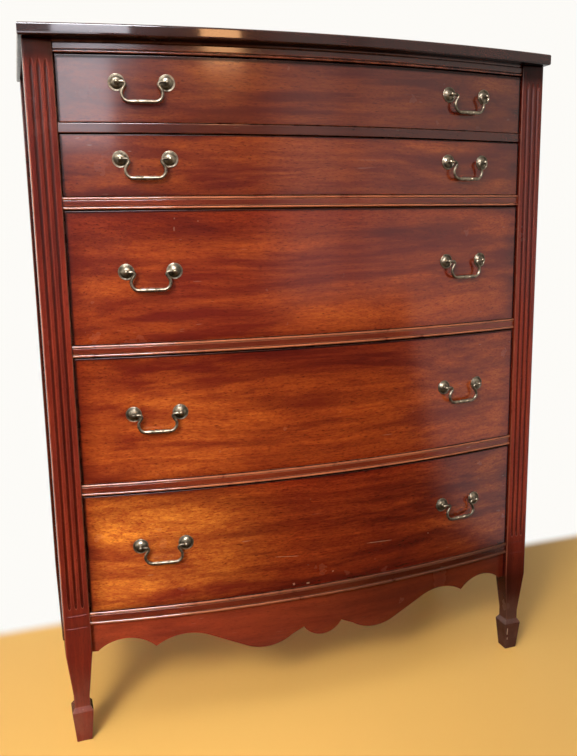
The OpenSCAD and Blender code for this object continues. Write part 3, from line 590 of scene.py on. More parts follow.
@dataclass(frozen=True)
class Lacquer:
    """A glossy lacquered mahogany finish.

    light, middle and dark are the wood's colours, figure the strength of the ribbon grain, edge the colour
    where the finish is rubbed through, and border the tint that the toned border and the painted shade
    towards a drawer's right multiply by. gloss and specular are the roughness and strength of the stained
    wood's own sheen, coat and polish the strength and roughness of the clear coat. sooty gives the two
    heights between which a painted shadow darkens the piece upwards, and ends the two distances from the
    middle between which painted shade darkens it outwards. nicks lists pale marks through the finish, each as
    (x, z, half length, half height, slope), and nicked is how strongly they show. offset moves the pattern so
    that two boards don't match, and tone makes one board darker or lighter than its neighbours. dust settles
    below the height where dust_zone starts, and dull_grime is how much the painted shade dulls the coat,
    which the painted shadow takes away altogether.
    """

    name: str
    light: Colour
    middle: Colour
    dark: Colour
    edge: Colour = (0.36, 0.10, 0.045)
    border: Colour = (0.55, 0.30, 0.30)
    figure: float = 0.6
    pores: float = 0.5
    wave: float = 0.02
    wear: float = 0.5
    gloss: float = 0.22
    specular: float = 0.22
    coat: float = 0.9
    polish: float = 0.06
    # A painted shadow darkens the piece upwards between two heights, and painted shade outwards between two
    # distances from the middle; the defaults lie beyond the chest.
    sooty: tuple[float, float] = (8.0, 9.0)
    ends: tuple[float, float] = (8.0, 9.0)
    nicks: tuple[Nick, ...] = ()
    nicked: float = 0.6
    tone: float = 1.0
    grain: Grain = Grain.ALONG_X
    offset: Place = (0.0, 0.0, 0.0)
    scratch: float = 0.15
    scratch_colour: Colour = (0.55, 0.45, 0.38)
    # Colour that the painted shade multiplies by.
    grime_colour: Colour = (0.10, 0.08, 0.10)
    smudge_rough: float = 0.06
    worn_rough: float = 0.18
    dust: float = 0.15
    dust_everywhere: float = 0.4
    dust_zone: tuple[float, float] = (0.17, 0.03)
    dust_colour: Colour = (0.42, 0.29, 0.24)
    # Strength and colour of the painted shadow and of the painted shade at the ends.
    soot: float = 0.9
    soot_colour: Colour = (0.10, 0.07, 0.09)
    nick_colour: Colour = (0.62, 0.50, 0.42)
    dull_grime: float = 0.7

    def build(self, effects: Effects) -> Material:
        """Makes the material: grain, then worn edges, scratches, painted shade, dust, painted shadow and
        nicks over it.

        Args:
            effects: the shared node groups.

        Returns:
            The material.
        """
        material, t = new_material(self.name)
        place = t.node("TexCoord").outputs["Object"]
        laid = t.node("Mapping", vector=place, location=self.offset, rotation=self.grain.value).outputs[0]
        light, middle, dark = (
            tuple(self.tone * c for c in hue) for hue in (self.light, self.middle, self.dark))
        grain = t.group(effects.grain, vector=laid, light=light, middle=middle, dark=dark, figure=self.figure,
                        pores=self.pores, wave=self.wave)
        worn = t.group(effects.wear, vector=place, weight=t.weight("wear"), amount=self.wear).outputs["Mask"]
        marks = t.group(effects.marks, vector=laid)
        # Weight of the painted shade in gaps, grooves, hollows, under overhangs and towards the right.
        grime = t.weight("grime")
        # The toned border and the painted shade towards a drawer's right multiply the grain by border.
        colour = t.blend(t.weight("shade"), grain.outputs["Color"], self.border, "MULTIPLY")
        colour = t.blend(worn, colour, self.edge)
        colour = t.blend(t.times(marks.outputs["Scratch"], self.scratch), colour, self.scratch_colour)
        colour = t.blend(grime, colour, self.grime_colour, "MULTIPLY")
        rough = t.plus(t.times(marks.outputs["Smudge"], self.smudge_rough), self.gloss)
        rough = t.plus(rough, t.times(worn, self.worn_rough), clamp=True)
        spot = t.node("SeparateXYZ", vector=place)
        height = spot.outputs["Z"]
        dust = t.times(t.ramp(height, *self.dust_zone), t.plus(marks.outputs["Smudge"], self.dust_everywhere))
        colour = t.blend(t.times(dust, self.dust, clamp=True), colour, self.dust_colour)
        # Painted shadow upwards and painted shade at the ends, which also take the coat away.
        outer = t.ramp(t.math("ABSOLUTE", spot.outputs["X"]), *self.ends)
        soot = t.times(t.most(t.ramp(height, *self.sooty), outer), self.soot)
        colour = t.blend(soot, colour, self.soot_colour, "MULTIPLY")
        ragged = t.times(t.noise(place, 900.0, 1.0), 0.8)
        for nick in self.nicks:
            mask = t.times(self.nick_mask(t, spot, ragged, nick), self.nicked)
            colour = t.blend(mask, colour, self.nick_colour)
        # The coat is duller under the painted shade and gone under the painted shadow.
        unshaded = t.minus(1.0, t.most(soot, t.times(grime, self.dull_grime)))
        bump = t.node("Bump", strength=0.05, distance=0.0003, height=grain.outputs["Height"])
        surface = t.node("BsdfPrincipled", base_color=colour, roughness=rough, normal=bump.outputs[0],
                         specular_ior_level=self.specular, coat_weight=t.times(unshaded, self.coat),
                         coat_roughness=self.polish)
        t.node("OutputMaterial", surface=surface.outputs[0])
        return material

    @staticmethod
    def nick_mask(t: Tree, spot: Node, ragged: Socket, nick: Nick) -> Socket:
        """Makes the mask of one pale mark, a slanted bar with a ragged edge.

        Args:
            t: the material's writer.
            spot: the Separate XYZ node of the place.
            ragged: noise that breaks up the edge.
            nick: the mark, as in nicks.

        Returns:
            The mask, 1 inside the mark.
        """
        x, z, long, high, slope = nick
        along = t.minus(spot.outputs["X"], x)
        up = t.minus(t.minus(spot.outputs["Z"], z), t.times(along, slope))
        reaches = [t.math("DIVIDE", t.math("ABSOLUTE", way), half)
                   for way, half in ((along, long), (up, high))]
        return t.ramp(t.plus(t.most(*reaches), ragged), 1.5, 1.1)


@dataclass(frozen=True)
class BareWood:
    """Plain, unfinished wood for drawer boxes, runners and backs."""

    name: str
    light: Colour
    middle: Colour
    dark: Colour
    grain: Grain = Grain.ALONG_X
    rough: float = 0.62
    smudge_rough: float = 0.12
    soil: float = 0.35
    soil_colour: Colour = (0.75, 0.68, 0.60)

    def build(self, effects: Effects) -> Material:
        """Makes the material.

        Args:
            effects: the shared node groups.

        Returns:
            The material.
        """
        material, t = new_material(self.name)
        place = t.node("TexCoord").outputs["Object"]
        laid = t.node("Mapping", vector=place, rotation=self.grain.value).outputs[0]
        grain = t.group(effects.grain, vector=laid, light=self.light, middle=self.middle, dark=self.dark,
                        figure=0.4, pores=0.25, wave=0.03)
        smudge = t.group(effects.marks, vector=laid).outputs["Smudge"]
        colour = t.blend(t.times(smudge, self.soil), grain.outputs["Color"], self.soil_colour, "MULTIPLY")
        rough = t.plus(t.times(smudge, self.smudge_rough), self.rough)
        bump = t.node("Bump", strength=0.25, distance=0.0005, height=grain.outputs["Height"])
        surface = t.node("BsdfPrincipled", base_color=colour, roughness=rough, normal=bump.outputs[0])
        t.node("OutputMaterial", surface=surface.outputs[0])
        return material


@dataclass(frozen=True)
class OldMetal:
    """Metal with a patina: bright where it is handled, dark in the hollows.

    rubbed is how much handling clears the patina, and dull_rough how much rougher than the metal it is.
    """

    name: str
    bright: Colour
    dull: Colour
    gloss: float = 0.30
    rubbed: float = 0.24
    dull_rough: float = 0.20

    def build(self) -> Material:
        """Makes the material from patches of noise, fewer where the wear weight is high."""
        material, t = new_material(self.name)
        patches = t.noise(t.node("TexCoord").outputs["Object"], 150.0, 3.0, 0.55)
        tarnish = t.ramp(t.minus(patches, t.times(t.weight("wear"), self.rubbed)), 0.12, 0.58)
        colour = t.blend(tarnish, self.bright, self.dull)
        rough = t.plus(t.times(tarnish, self.dull_rough), self.gloss)
        bump = t.node("Bump", strength=0.06, distance=0.0002, height=patches)
        surface = t.node("BsdfPrincipled", base_color=colour, roughness=rough, normal=bump.outputs[0],
                         metallic=1.0)
        t.node("OutputMaterial", surface=surface.outputs[0])
        return material


class Finishes:
    """Every finish on the chest, built once.

    POST to VENEER are the light, middle and dark colours of those parts' wood. VENEERS gives for each drawer,
    from the top, how far below its top edge the painted shadow starts, and the fields that set its veneer
    apart, among them a border tint, which the toned border and the painted shade towards the right multiply
    by. VENEER_ENDS and POST_SOOTY say how far from the veneer's ends and from the post's top the
    painted shade and the painted shadow start and are full, and VENEER_STEP how far the pattern moves from
    one drawer to the next.
    """

    POST = ((0.32, 0.045, 0.022), (0.21, 0.025, 0.013), (0.10, 0.010, 0.008))
    CASE = ((0.30, 0.052, 0.020), (0.20, 0.028, 0.012), (0.11, 0.013, 0.008))
    RAIL = ((0.38, 0.070, 0.024), (0.23, 0.034, 0.014), (0.13, 0.017, 0.010))
    TOP = ((0.075, 0.015, 0.010), (0.042, 0.008, 0.006), (0.020, 0.004, 0.003))
    BOX = ((0.62, 0.44, 0.25), (0.50, 0.33, 0.18), (0.36, 0.22, 0.11))
    BACK = ((0.50, 0.33, 0.19), (0.38, 0.23, 0.13), (0.26, 0.14, 0.08))
    POST_NICKS = ((0.4238, 0.041, 0.0012, 0.0080, 0.0), (0.4250, 0.024, 0.0010, 0.0030, 0.0))
    MID_NICKS = ((-0.2457, 0.8824, 0.0012, 0.0036, 0.0), (-0.2445, 0.8990, 0.0012, 0.0014, 0.0),
                 (-0.2072, 0.8944, 0.0012, 0.0010, 0.0))
    LOW_NICKS = ((0.112, 0.3028, 0.025, 0.0005, -0.052), (0.0174, 0.2613, 0.0018, 0.0012, 0.3),
                 (-0.0314, 0.2462, 0.0030, 0.0016, 0.1), (-0.058, 0.2486, 0.0020, 0.0022, 0.0),
                 (-0.069, 0.3030, 0.022, 0.0004, -0.10), (0.2177, 0.3006, 0.0010, 0.0010, 0.0))
    VENEER = ((0.60, 0.150, 0.022), (0.35, 0.052, 0.013), (0.15, 0.013, 0.008))
    # Each border tint is what the toned border and the painted shade towards the right multiply by.
    VENEERS = (
        (7.0 * MM, {"tone": 0.54}),
        (2.6 * MM, {"tone": 0.68}),
        (4.6 * MM, {"tone": 1.02, "border": (0.42, 0.20, 0.23), "nicks": MID_NICKS, "nicked": 0.12}),
        (4.2 * MM, {"tone": 1.14, "border": (0.34, 0.12, 0.18), "light": (0.68, 0.20, 0.028),
                    "middle": (0.35, 0.058, 0.013)}),
        (2.4 * MM, {"tone": 1.28, "border": (0.25, 0.06, 0.14), "light": (0.84, 0.34, 0.040),
                    "middle": (0.37, 0.068, 0.015), "nicks": LOW_NICKS, "nicked": 0.3}))
    # Where the painted shade at the veneer's ends and the painted shadow below the post's top start and are
    # full.
    VENEER_ENDS = (5.0 * MM, 2.4 * MM)
    POST_SOOTY = (45.0 * MM, 18.0 * MM)
    VENEER_STEP = (0.31, 0.0, 0.17)

    def __init__(self, effects: Effects) -> None:
        """Builds the materials.

        Args:
            effects: the shared node groups.
        """
        upright = {"grain": Grain.ALONG_Z, "figure": 0.5}
        post_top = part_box("left_front_post")[1][2]
        looks = {
            # The posts' finish carries a painted shadow below the top board.
            "post": Lacquer("post_lacquer", *self.POST, edge=(0.42, 0.12, 0.06), wear=0.8, specular=0.15,
                            coat=0.65, polish=0.10, tone=1.08, nicks=self.POST_NICKS,
                            sooty=tuple(post_top - below for below in self.POST_SOOTY), **upright),
            "rail": Lacquer("rail_lacquer", *self.RAIL, edge=(0.46, 0.15, 0.06), figure=0.4, tone=0.8,
                            wear=0.85, polish=0.04),
            "dark_rail": Lacquer("dark_rail_lacquer", *self.RAIL, figure=0.3, tone=0.4, polish=0.12),
            "apron": Lacquer("apron_lacquer", *self.RAIL, figure=0.35, wear=0.6, tone=1.35),
            # The rear posts are the case finish at 0.3 of its tone: a copy darkened as painted shade.
            "rear_post": Lacquer("rear_post_lacquer", *self.CASE, tone=0.3, **upright),
            "side": Lacquer("side_lacquer", *self.CASE, gloss=0.14, polish=0.04, **upright),
            "top": Lacquer("top_lacquer", *self.TOP, edge=(0.14, 0.05, 0.03), figure=0.35, wear=0.4,
                           specular=0.12)}
        self.lacquers = {name: look.build(effects) for name, look in looks.items()}
        self.veneers = [self.veneer(k, *row).build(effects) for k, row in enumerate(self.VENEERS, 1)]
        self.box_along = BareWood("drawer_wood_along", *self.BOX, grain=Grain.ALONG_Y).build(effects)
        self.box_across = BareWood("drawer_wood_across", *self.BOX).build(effects)
        self.back = BareWood("back_panel_wood", *self.BACK, grain=Grain.ALONG_Z).build(effects)
        self.brass = OldMetal("antique_brass", (0.36, 0.30, 0.21), (0.075, 0.060, 0.042)).build()
        self.steel = OldMetal("screw_steel", (0.55, 0.54, 0.52), (0.30, 0.29, 0.27)).build()

    def veneer(self, number: int, gap: float, look: dict) -> Lacquer:
        """Makes one drawer's veneer, with a painted shadow along its top edge and painted shade at its ends.

        Args:
            number: the drawer's number.
            gap: how far below the top edge the painted shadow starts.
            look: the fields that set this veneer apart.

        Returns:
            The finish.
        """
        end, _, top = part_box(f"drawer_{number}_front")[1]
        shared = {
            **dict(zip(("light", "middle", "dark"), self.VENEER)), "figure": 0.8, "pores": 0.7, "wave": 0.035,
            # A painted shadow along the top edge and painted shade at the ends.
            "polish": 0.11, "sooty": (top - gap, top - gap / 2),
            "ends": tuple(end - inwards for inwards in self.VENEER_ENDS),
            "offset": tuple(number * step for step in self.VENEER_STEP)}
        return Lacquer(f"veneer_{number}", **(shared | look))


@dataclass(frozen=True)
class TopBoard:
    """The top: straight sides and back, a bowed front and eased edges."""

    rise: float = 47.0 * MM
    edge_r: float = 3.0 * MM
    steps: int = 6
    # How dark the painted shade under the overhang makes the edge's lower round.
    under_grime: float = 0.9
    front_steps: int = 96
    side_steps: int = 13
    back_steps: int = 23

    def build(self, finishes: Finishes) -> Piece:
        """Lofts the outline, drawn in by the edge's round at each level.

        Args:
            finishes: the chest's finishes.

        Returns:
            The board.
        """
        low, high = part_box("top_board")
        bow = Bow(2 * high[0], self.rise, low[1])
        angle = np.linspace(0, np.pi / 2, self.steps + 1)
        inset = self.edge_r * (1 - np.cos(angle))
        drop = self.edge_r * np.sin(angle)
        lower, upper = low[2] + self.edge_r, high[2] - self.edge_r
        levels = np.concatenate([
            columns(inset[::-1], lower - drop[::-1]),
            columns(inset * 0, np.linspace(lower, upper, self.steps + 1))[1:-1],
            columns(inset, upper + drop)])
        wear = np.concatenate([np.sin(2 * angle[::-1]), np.zeros(self.steps - 1), np.sin(2 * angle)])
        # Painted shade on the edge's lower round, under the overhang.
        grime = np.clip(1 - (levels[:, 1] - low[2]) / self.edge_r, 0, 1) * self.under_grime
        loops = np.stack([self.outline(bow, high[1], e, z) for e, z in levels])
        skin = Skin()
        skin.loft(loops, wear=wear[:, None], grime=grime[:, None])
        return skin.finish("polished_top", finishes.lacquers["top"])

    def outline(self, bow: Bow, back_y: float, inset: float, z: float) -> Array:
        """Gives the outline at one level, anticlockwise from the front left corner.

        Args:
            bow: the front edge's curve.
            back_y: the board's back edge.
            inset: how far the outline is drawn in.
            z: the level.

        Returns:
            Points as an array (n, 3).
        """
        w = bow.chord / 2 - inset
        x = np.linspace(-w, w, self.front_steps + 1)
        front = columns(x, bow.y_at(x, np.full_like(x, inset)))
        side_y = np.linspace(front[-1, 1], back_y - inset, self.side_steps + 1)[1:]
        right = columns(np.full_like(side_y, w), side_y)
        back_x = np.linspace(w, -w, self.back_steps + 1)[1:]
        back = columns(back_x, np.full_like(back_x, back_y - inset))
        left = columns(np.full_like(side_y, -w), side_y[::-1])[1:]
        outline = np.concatenate([front, right, back, left])
        return np.column_stack([outline, np.full(len(outline), z)])


@dataclass(frozen=True)
class FrontPost:
    """A front post and leg: fluted shaft, scribed lines, taper, ankle and spade foot.

    leg_grime and top_grime are how strongly painted shade darkens the leg and the upper end, leg_dark and
    top_dark the heights over which it does so, and the other shade values how strongly painted shade darkens
    a flute's floor, its lower end, a scribed line and the post's inner face. soft_taper is the height over
    which the edges grow rounder, and flat_gap how far the flutes keep from them. Beside each flute lie a few
    points at beside, in half widths, and reach is the room they need. worn_arris says how deep the wear on a
    flute's edge is most, over what depth it fades, and from what depth it shows. dirty_floor gives the share
    of a flute's depth where the painted shade starts and over what share it grows, and dirty_end how far
    above the flute's lower end the painted shade is most, how far it spreads, and the depth where it is full.
    inner_from is the share of the half width where the inner face starts.
    """

    side: Side
    width: float = 44.0 * MM
    depth: float = 41.0 * MM
    edge_r: float = 2.0 * MM
    foot_w: float = 25.5 * MM
    collar_w: float = 36.0 * MM
    collar_z: float = 58.0 * MM
    bevel_h: float = 8.0 * MM
    ankle_w: float = 26.0 * MM
    ankle_z: float = 84.0 * MM
    taper_z: float = 168.0 * MM
    scribe_w: float = 1.0 * MM
    scribe_depth: float = 0.5 * MM
    flute_pitch: float = 10.6 * MM
    flute_r: float = 3.4 * MM
    flute_depth: float = 2.2 * MM
    runout: float = 15.0 * MM
    top_margin: float = 28.0 * MM
    bottom_margin: float = 11.0 * MM
    arris: float = 0.22 * MM
    near: float = 0.35 * MM
    ease: float = 0.8 * MM
    # Painted shade on the leg and upper end, in the flutes, in the scribed lines and on the inner face.
    leg_grime: float = 0.0
    top_grime: float = 0.0
    leg_dark: tuple[float, float] = (0.16, 0.30)
    top_dark: tuple[float, float] = (0.75, 1.05)
    flute_grime: float = 0.75
    flute_end_grime: float = 0.8
    scribe_grime: float = 0.5
    inner_grime: float = 0.55
    soft_taper: float = 30.0 * MM
    flat_gap: float = 0.6 * MM
    beside: tuple[float, ...] = (1.04, 1.12, 1.30)
    reach: float = 1.35
    flute_steps: int = 23
    worn_arris: tuple[float, float, float] = (0.12 * MM, 0.25 * MM, 0.03 * MM)
    # Where painted shade lies in a flute's floor and at its lower end.
    dirty_floor: tuple[float, float] = (0.6, 0.35)
    dirty_end: tuple[float, float, float] = (5.0 * MM, 9.0 * MM, 0.3 * MM)
    inner_from: float = 0.93

    def build(self, finishes: Finishes) -> Piece:
        """Lofts the post's section up its height.

        Args:
            finishes: the chest's finishes.

        Returns:
            The post.
        """
        node = f"{self.side.word}_front_post"
        low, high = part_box(node)
        rail_low, rail_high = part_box("bottom_rail")
        z = self.stations(high[2], rail_low[2], rail_high[2])
        centre_x = self.side.value * (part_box("right_front_post")[1][0] - self.width / 2)
        centre_y = low[1] + self.depth / 2
        loops, wear, shade_weight = self.sections(z, rail_low[2], rail_high[2], high[2])
        loops = loops + np.array([centre_x, centre_y, 0.0])
        skin = Skin()
        # The second weight is painted shade.
        skin.loft(loops, wear=wear, grime=shade_weight)
        return skin.finish(f"{self.side.word}_fluted_post", finishes.lacquers["post"], 50.0)

    def half_widths(self, z: Array, section: float) -> Array:
        """Gives half the leg's width at each height, by straight lines between the turning points."""
        heights = [0, self.collar_z, self.collar_z + self.bevel_h, self.ankle_z, self.taper_z]
        widths = [self.foot_w, self.collar_w, self.ankle_w, self.ankle_w, section]
        return np.interp(z, heights, widths) / 2

    def stations(self, top: float, rail_low: float, rail_high: float) -> Array:
        """Gives the heights of the sections, close together where the shape turns.

        Args:
            top: the post's top.
            rail_low: underside of the bottom rail.
            rail_high: upper side of the bottom rail.

        Returns:
            Heights in rising order.
        """
        near, half = self.near, self.scribe_w / 2
        turns = [self.collar_z, self.collar_z + self.bevel_h, self.ankle_z, self.taper_z]
        marks = [0.0, self.ease, top - self.ease, top]
        marks += [t + d for t in turns for d in (-2 * near, -near, 0, near, 2 * near)]
        marks += [line + d for line in (rail_low, rail_high)
                  for d in (-half - near, -half, 0, half, half + near)]
        low, high = rail_high + self.bottom_margin, top - self.top_margin
        marks += (low + self.runout * np.linspace(0, 1, 10) ** 2).tolist()
        marks += (high - self.runout * np.linspace(0, 1, 10) ** 2).tolist()
        marks += np.linspace(2 * MM, top - 2 * MM, 90).tolist()
        return np.unique(np.round(marks, 6))

    def sections(self, z: Array, rail_low: float, rail_high: float, top: float) -> tuple[Array, Array, Array]:
        """Gives the section at every height.

        The four corners are arcs. The front side is a row of points that follows the flutes: across a flute
        of radius r whose axis stands (flute_r - flute_depth) in front of the face, the surface lies
        sqrt(r^2 - x^2) - (flute_r - flute_depth) behind it, blended softly into the flat.

        Args:
            z: heights.
            rail_low: underside of the bottom rail.
            rail_high: upper side of the bottom rail.
            top: the post's top.

        Returns:
            Loops as an array (k, m, 3) about the post's axis, a wear weight (k, m) and a weight (k, m) of
            painted shade.
        """
        half_x = self.half_widths(z, self.width)
        half_y = self.half_widths(z, self.depth)
        radius = np.interp(z, [0, self.ankle_z, self.taper_z + self.soft_taper],
                           [self.ease, self.ease, self.edge_r])
        ease = np.interp(z, [0.0, self.ease, top - self.ease, top], [self.ease, 0.0, 0.0, self.ease])
        half_x, half_y = half_x - ease, half_y - ease
        ways = ((1, -1), (1, 1), (-1, 1), (-1, -1))
        corners = np.stack([columns(x * half_x, y * half_y) for x, y in ways], 1)
        loop, wear = rounded_loop(corners, np.repeat(radius[:, None], 4, 1), steps=5, divide=[6, 6, 6, 0])
        front_x, behind = self.front_line(z, half_x - radius - self.flat_gap, rail_high, top)
        line = columns(front_x, -half_y[:, None] + behind)
        groove = self.scribe(z, rail_low) + self.scribe(z, rail_high)
        line[..., 1] += groove[:, None]
        loop = np.concatenate([loop, line], axis=1)
        deep, fade, start = self.worn_arris
        edge = np.clip(1 - np.abs(behind - deep) / fade, 0, 1) * (behind > start)
        weights = np.concatenate([np.broadcast_to(wear, loop.shape[:1] + wear.shape), edge], axis=1)
        heights = np.broadcast_to(z[:, None], loop.shape[:2])
        # Painted shade: in the flute floors, the scribed lines and the flutes' lower ends, on the inner face,
        # and on the leg and the post's upper end.
        start, over = self.dirty_floor
        shade_weight = np.clip((behind / self.flute_depth - start) / over, 0, 1) * self.flute_grime
        shade_weight = shade_weight + self.scribe_grime * (groove > 0)[:, None]
        above, fade, full = self.dirty_end
        flute_end = np.clip(1 - np.abs(z - rail_high - self.bottom_margin - above) / fade, 0, 1)
        flute_end = self.flute_end_grime * flute_end[:, None]
        shade_weight = np.maximum(shade_weight, flute_end * np.clip(behind / full, 0, 1))
        inner = self.side.value * loop[:, :len(wear), 0] < -self.inner_from * half_x[:, None]
        shade_weight = np.concatenate([self.inner_grime * inner, shade_weight], axis=1)
        shade_weight = np.maximum(shade_weight, self.leg_grime * np.interp(z, self.leg_dark, [1, 0])[:, None])
        shade_weight = np.maximum(shade_weight, self.top_grime * np.interp(z, self.top_dark, [0, 1])[:, None])
        return np.concatenate([loop, heights[..., None]], axis=-1), weights, shade_weight

    def scribe(self, z: Array, line: float) -> Array:
        """Gives the depth of one scribed line at each height, a V across the front."""
        return self.scribe_depth * np.clip(1 - np.abs(z - line) / (self.scribe_w / 2), 0, 1)

    def front_line(self, z: Array, half_flat: Array, rail_high: float, top: float) -> tuple[Array, Array]:
        """Gives x and depth along the front side from left to right, for every height.

        Args:
            z: heights.
            half_flat: half the width of the flat front at each height.
            rail_high: upper side of the bottom rail.
            top: the post's top.

        Returns:
            Two arrays (k, n): x, and how far the surface lies behind the face.
        """
        low, high = rail_high + self.bottom_margin, top - self.top_margin
        axis_out = self.flute_r - self.flute_depth
        grow = np.clip(np.minimum(z - low, high - z) / self.runout, 0, 1)
        grow = 1 - (1 - grow) ** 2
        radius = axis_out + (self.flute_r - axis_out) * grow
        half_w = math.sqrt(self.flute_r**2 - axis_out**2)
        beside = np.array(self.beside)
        across = np.sin(np.linspace(-np.pi / 2, np.pi / 2, self.flute_steps))
        t = np.concatenate([-beside[::-1], across, beside])
        local = np.tile(half_w * t, 3)[None, :]
        centres = np.repeat(self.flute_pitch * np.array([-1, 0, 1]), len(t))[None, :]
        scale = np.minimum(1.0, half_flat / (self.flute_pitch + self.reach * half_w))[:, None]
        dip = np.sqrt(np.maximum(radius[:, None] ** 2 - local**2, 0)) - axis_out
        arris = self.arris * np.clip(4 * grow, 0, 1)[:, None]
        soft = 0.5 * (dip + np.sqrt(dip**2 + arris**2)) * (grow > 0)[:, None]
        return (centres + local) * scale, soft


@dataclass(frozen=True)
class RearPost:
    """A rear post: straight above, drawn in below on the inner and front faces."""

    side: Side
    width: float = 44.0 * MM
    depth: float = 41.0 * MM
    edge_r: float = 1.5 * MM
    foot_w: float = 29.0 * MM
    inset: float = 4.0 * MM
    taper_z: float = 168.0 * MM
    near: float = 0.35 * MM
    ease: float = 0.8 * MM

    def build(self, finishes: Finishes) -> Piece:
        """Lofts the four bounds of the section up the height.

        Args:
            finishes: the chest's finishes.

        Returns:
            The post.
        """
        low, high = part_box(f"{self.side.word}_rear_post")
        z = np.unique(np.concatenate([
            [0.0, self.ease, self.taper_z - self.near, self.taper_z, self.taper_z + self.near, high[2]],
            np.linspace(2 * MM, high[2] - 2 * MM, 40)]))
        taper = np.clip(1 - z / self.taper_z, 0, 1)
        ease = np.interp(z, [0.0, self.ease], [self.ease, 0.0])
        outer = self.width / 2 - self.inset * taper - ease
        inner = -self.width / 2 + (self.width - self.inset - self.foot_w) * taper + ease
        back = self.depth / 2 - self.inset * taper - ease
        front = -self.depth / 2 + (self.depth - self.inset - self.foot_w) * taper + ease
        corners = np.stack([columns(*p) for p in (
            (outer, front), (outer, back), (inner, back), (inner, front))], axis=1)
        radii = np.full(corners.shape[:2], self.edge_r)
        loop, wear = rounded_loop(corners, radii, divide=[5, 5, 5, 5])
        loop = loop * np.array([self.side.value, 1.0])
        centre_x = self.side.value * (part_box("right_rear_post")[1][0] - self.width / 2)
        loop = loop + np.array([centre_x, high[1] - self.depth / 2])
        heights = np.broadcast_to(z[:, None, None], loop.shape[:2] + (1,))
        skin = Skin()
        skin.loft(np.concatenate([loop, heights], -1), wear=wear[None, :])
        return skin.finish(f"{self.side.word}_back_leg", finishes.lacquers["rear_post"])


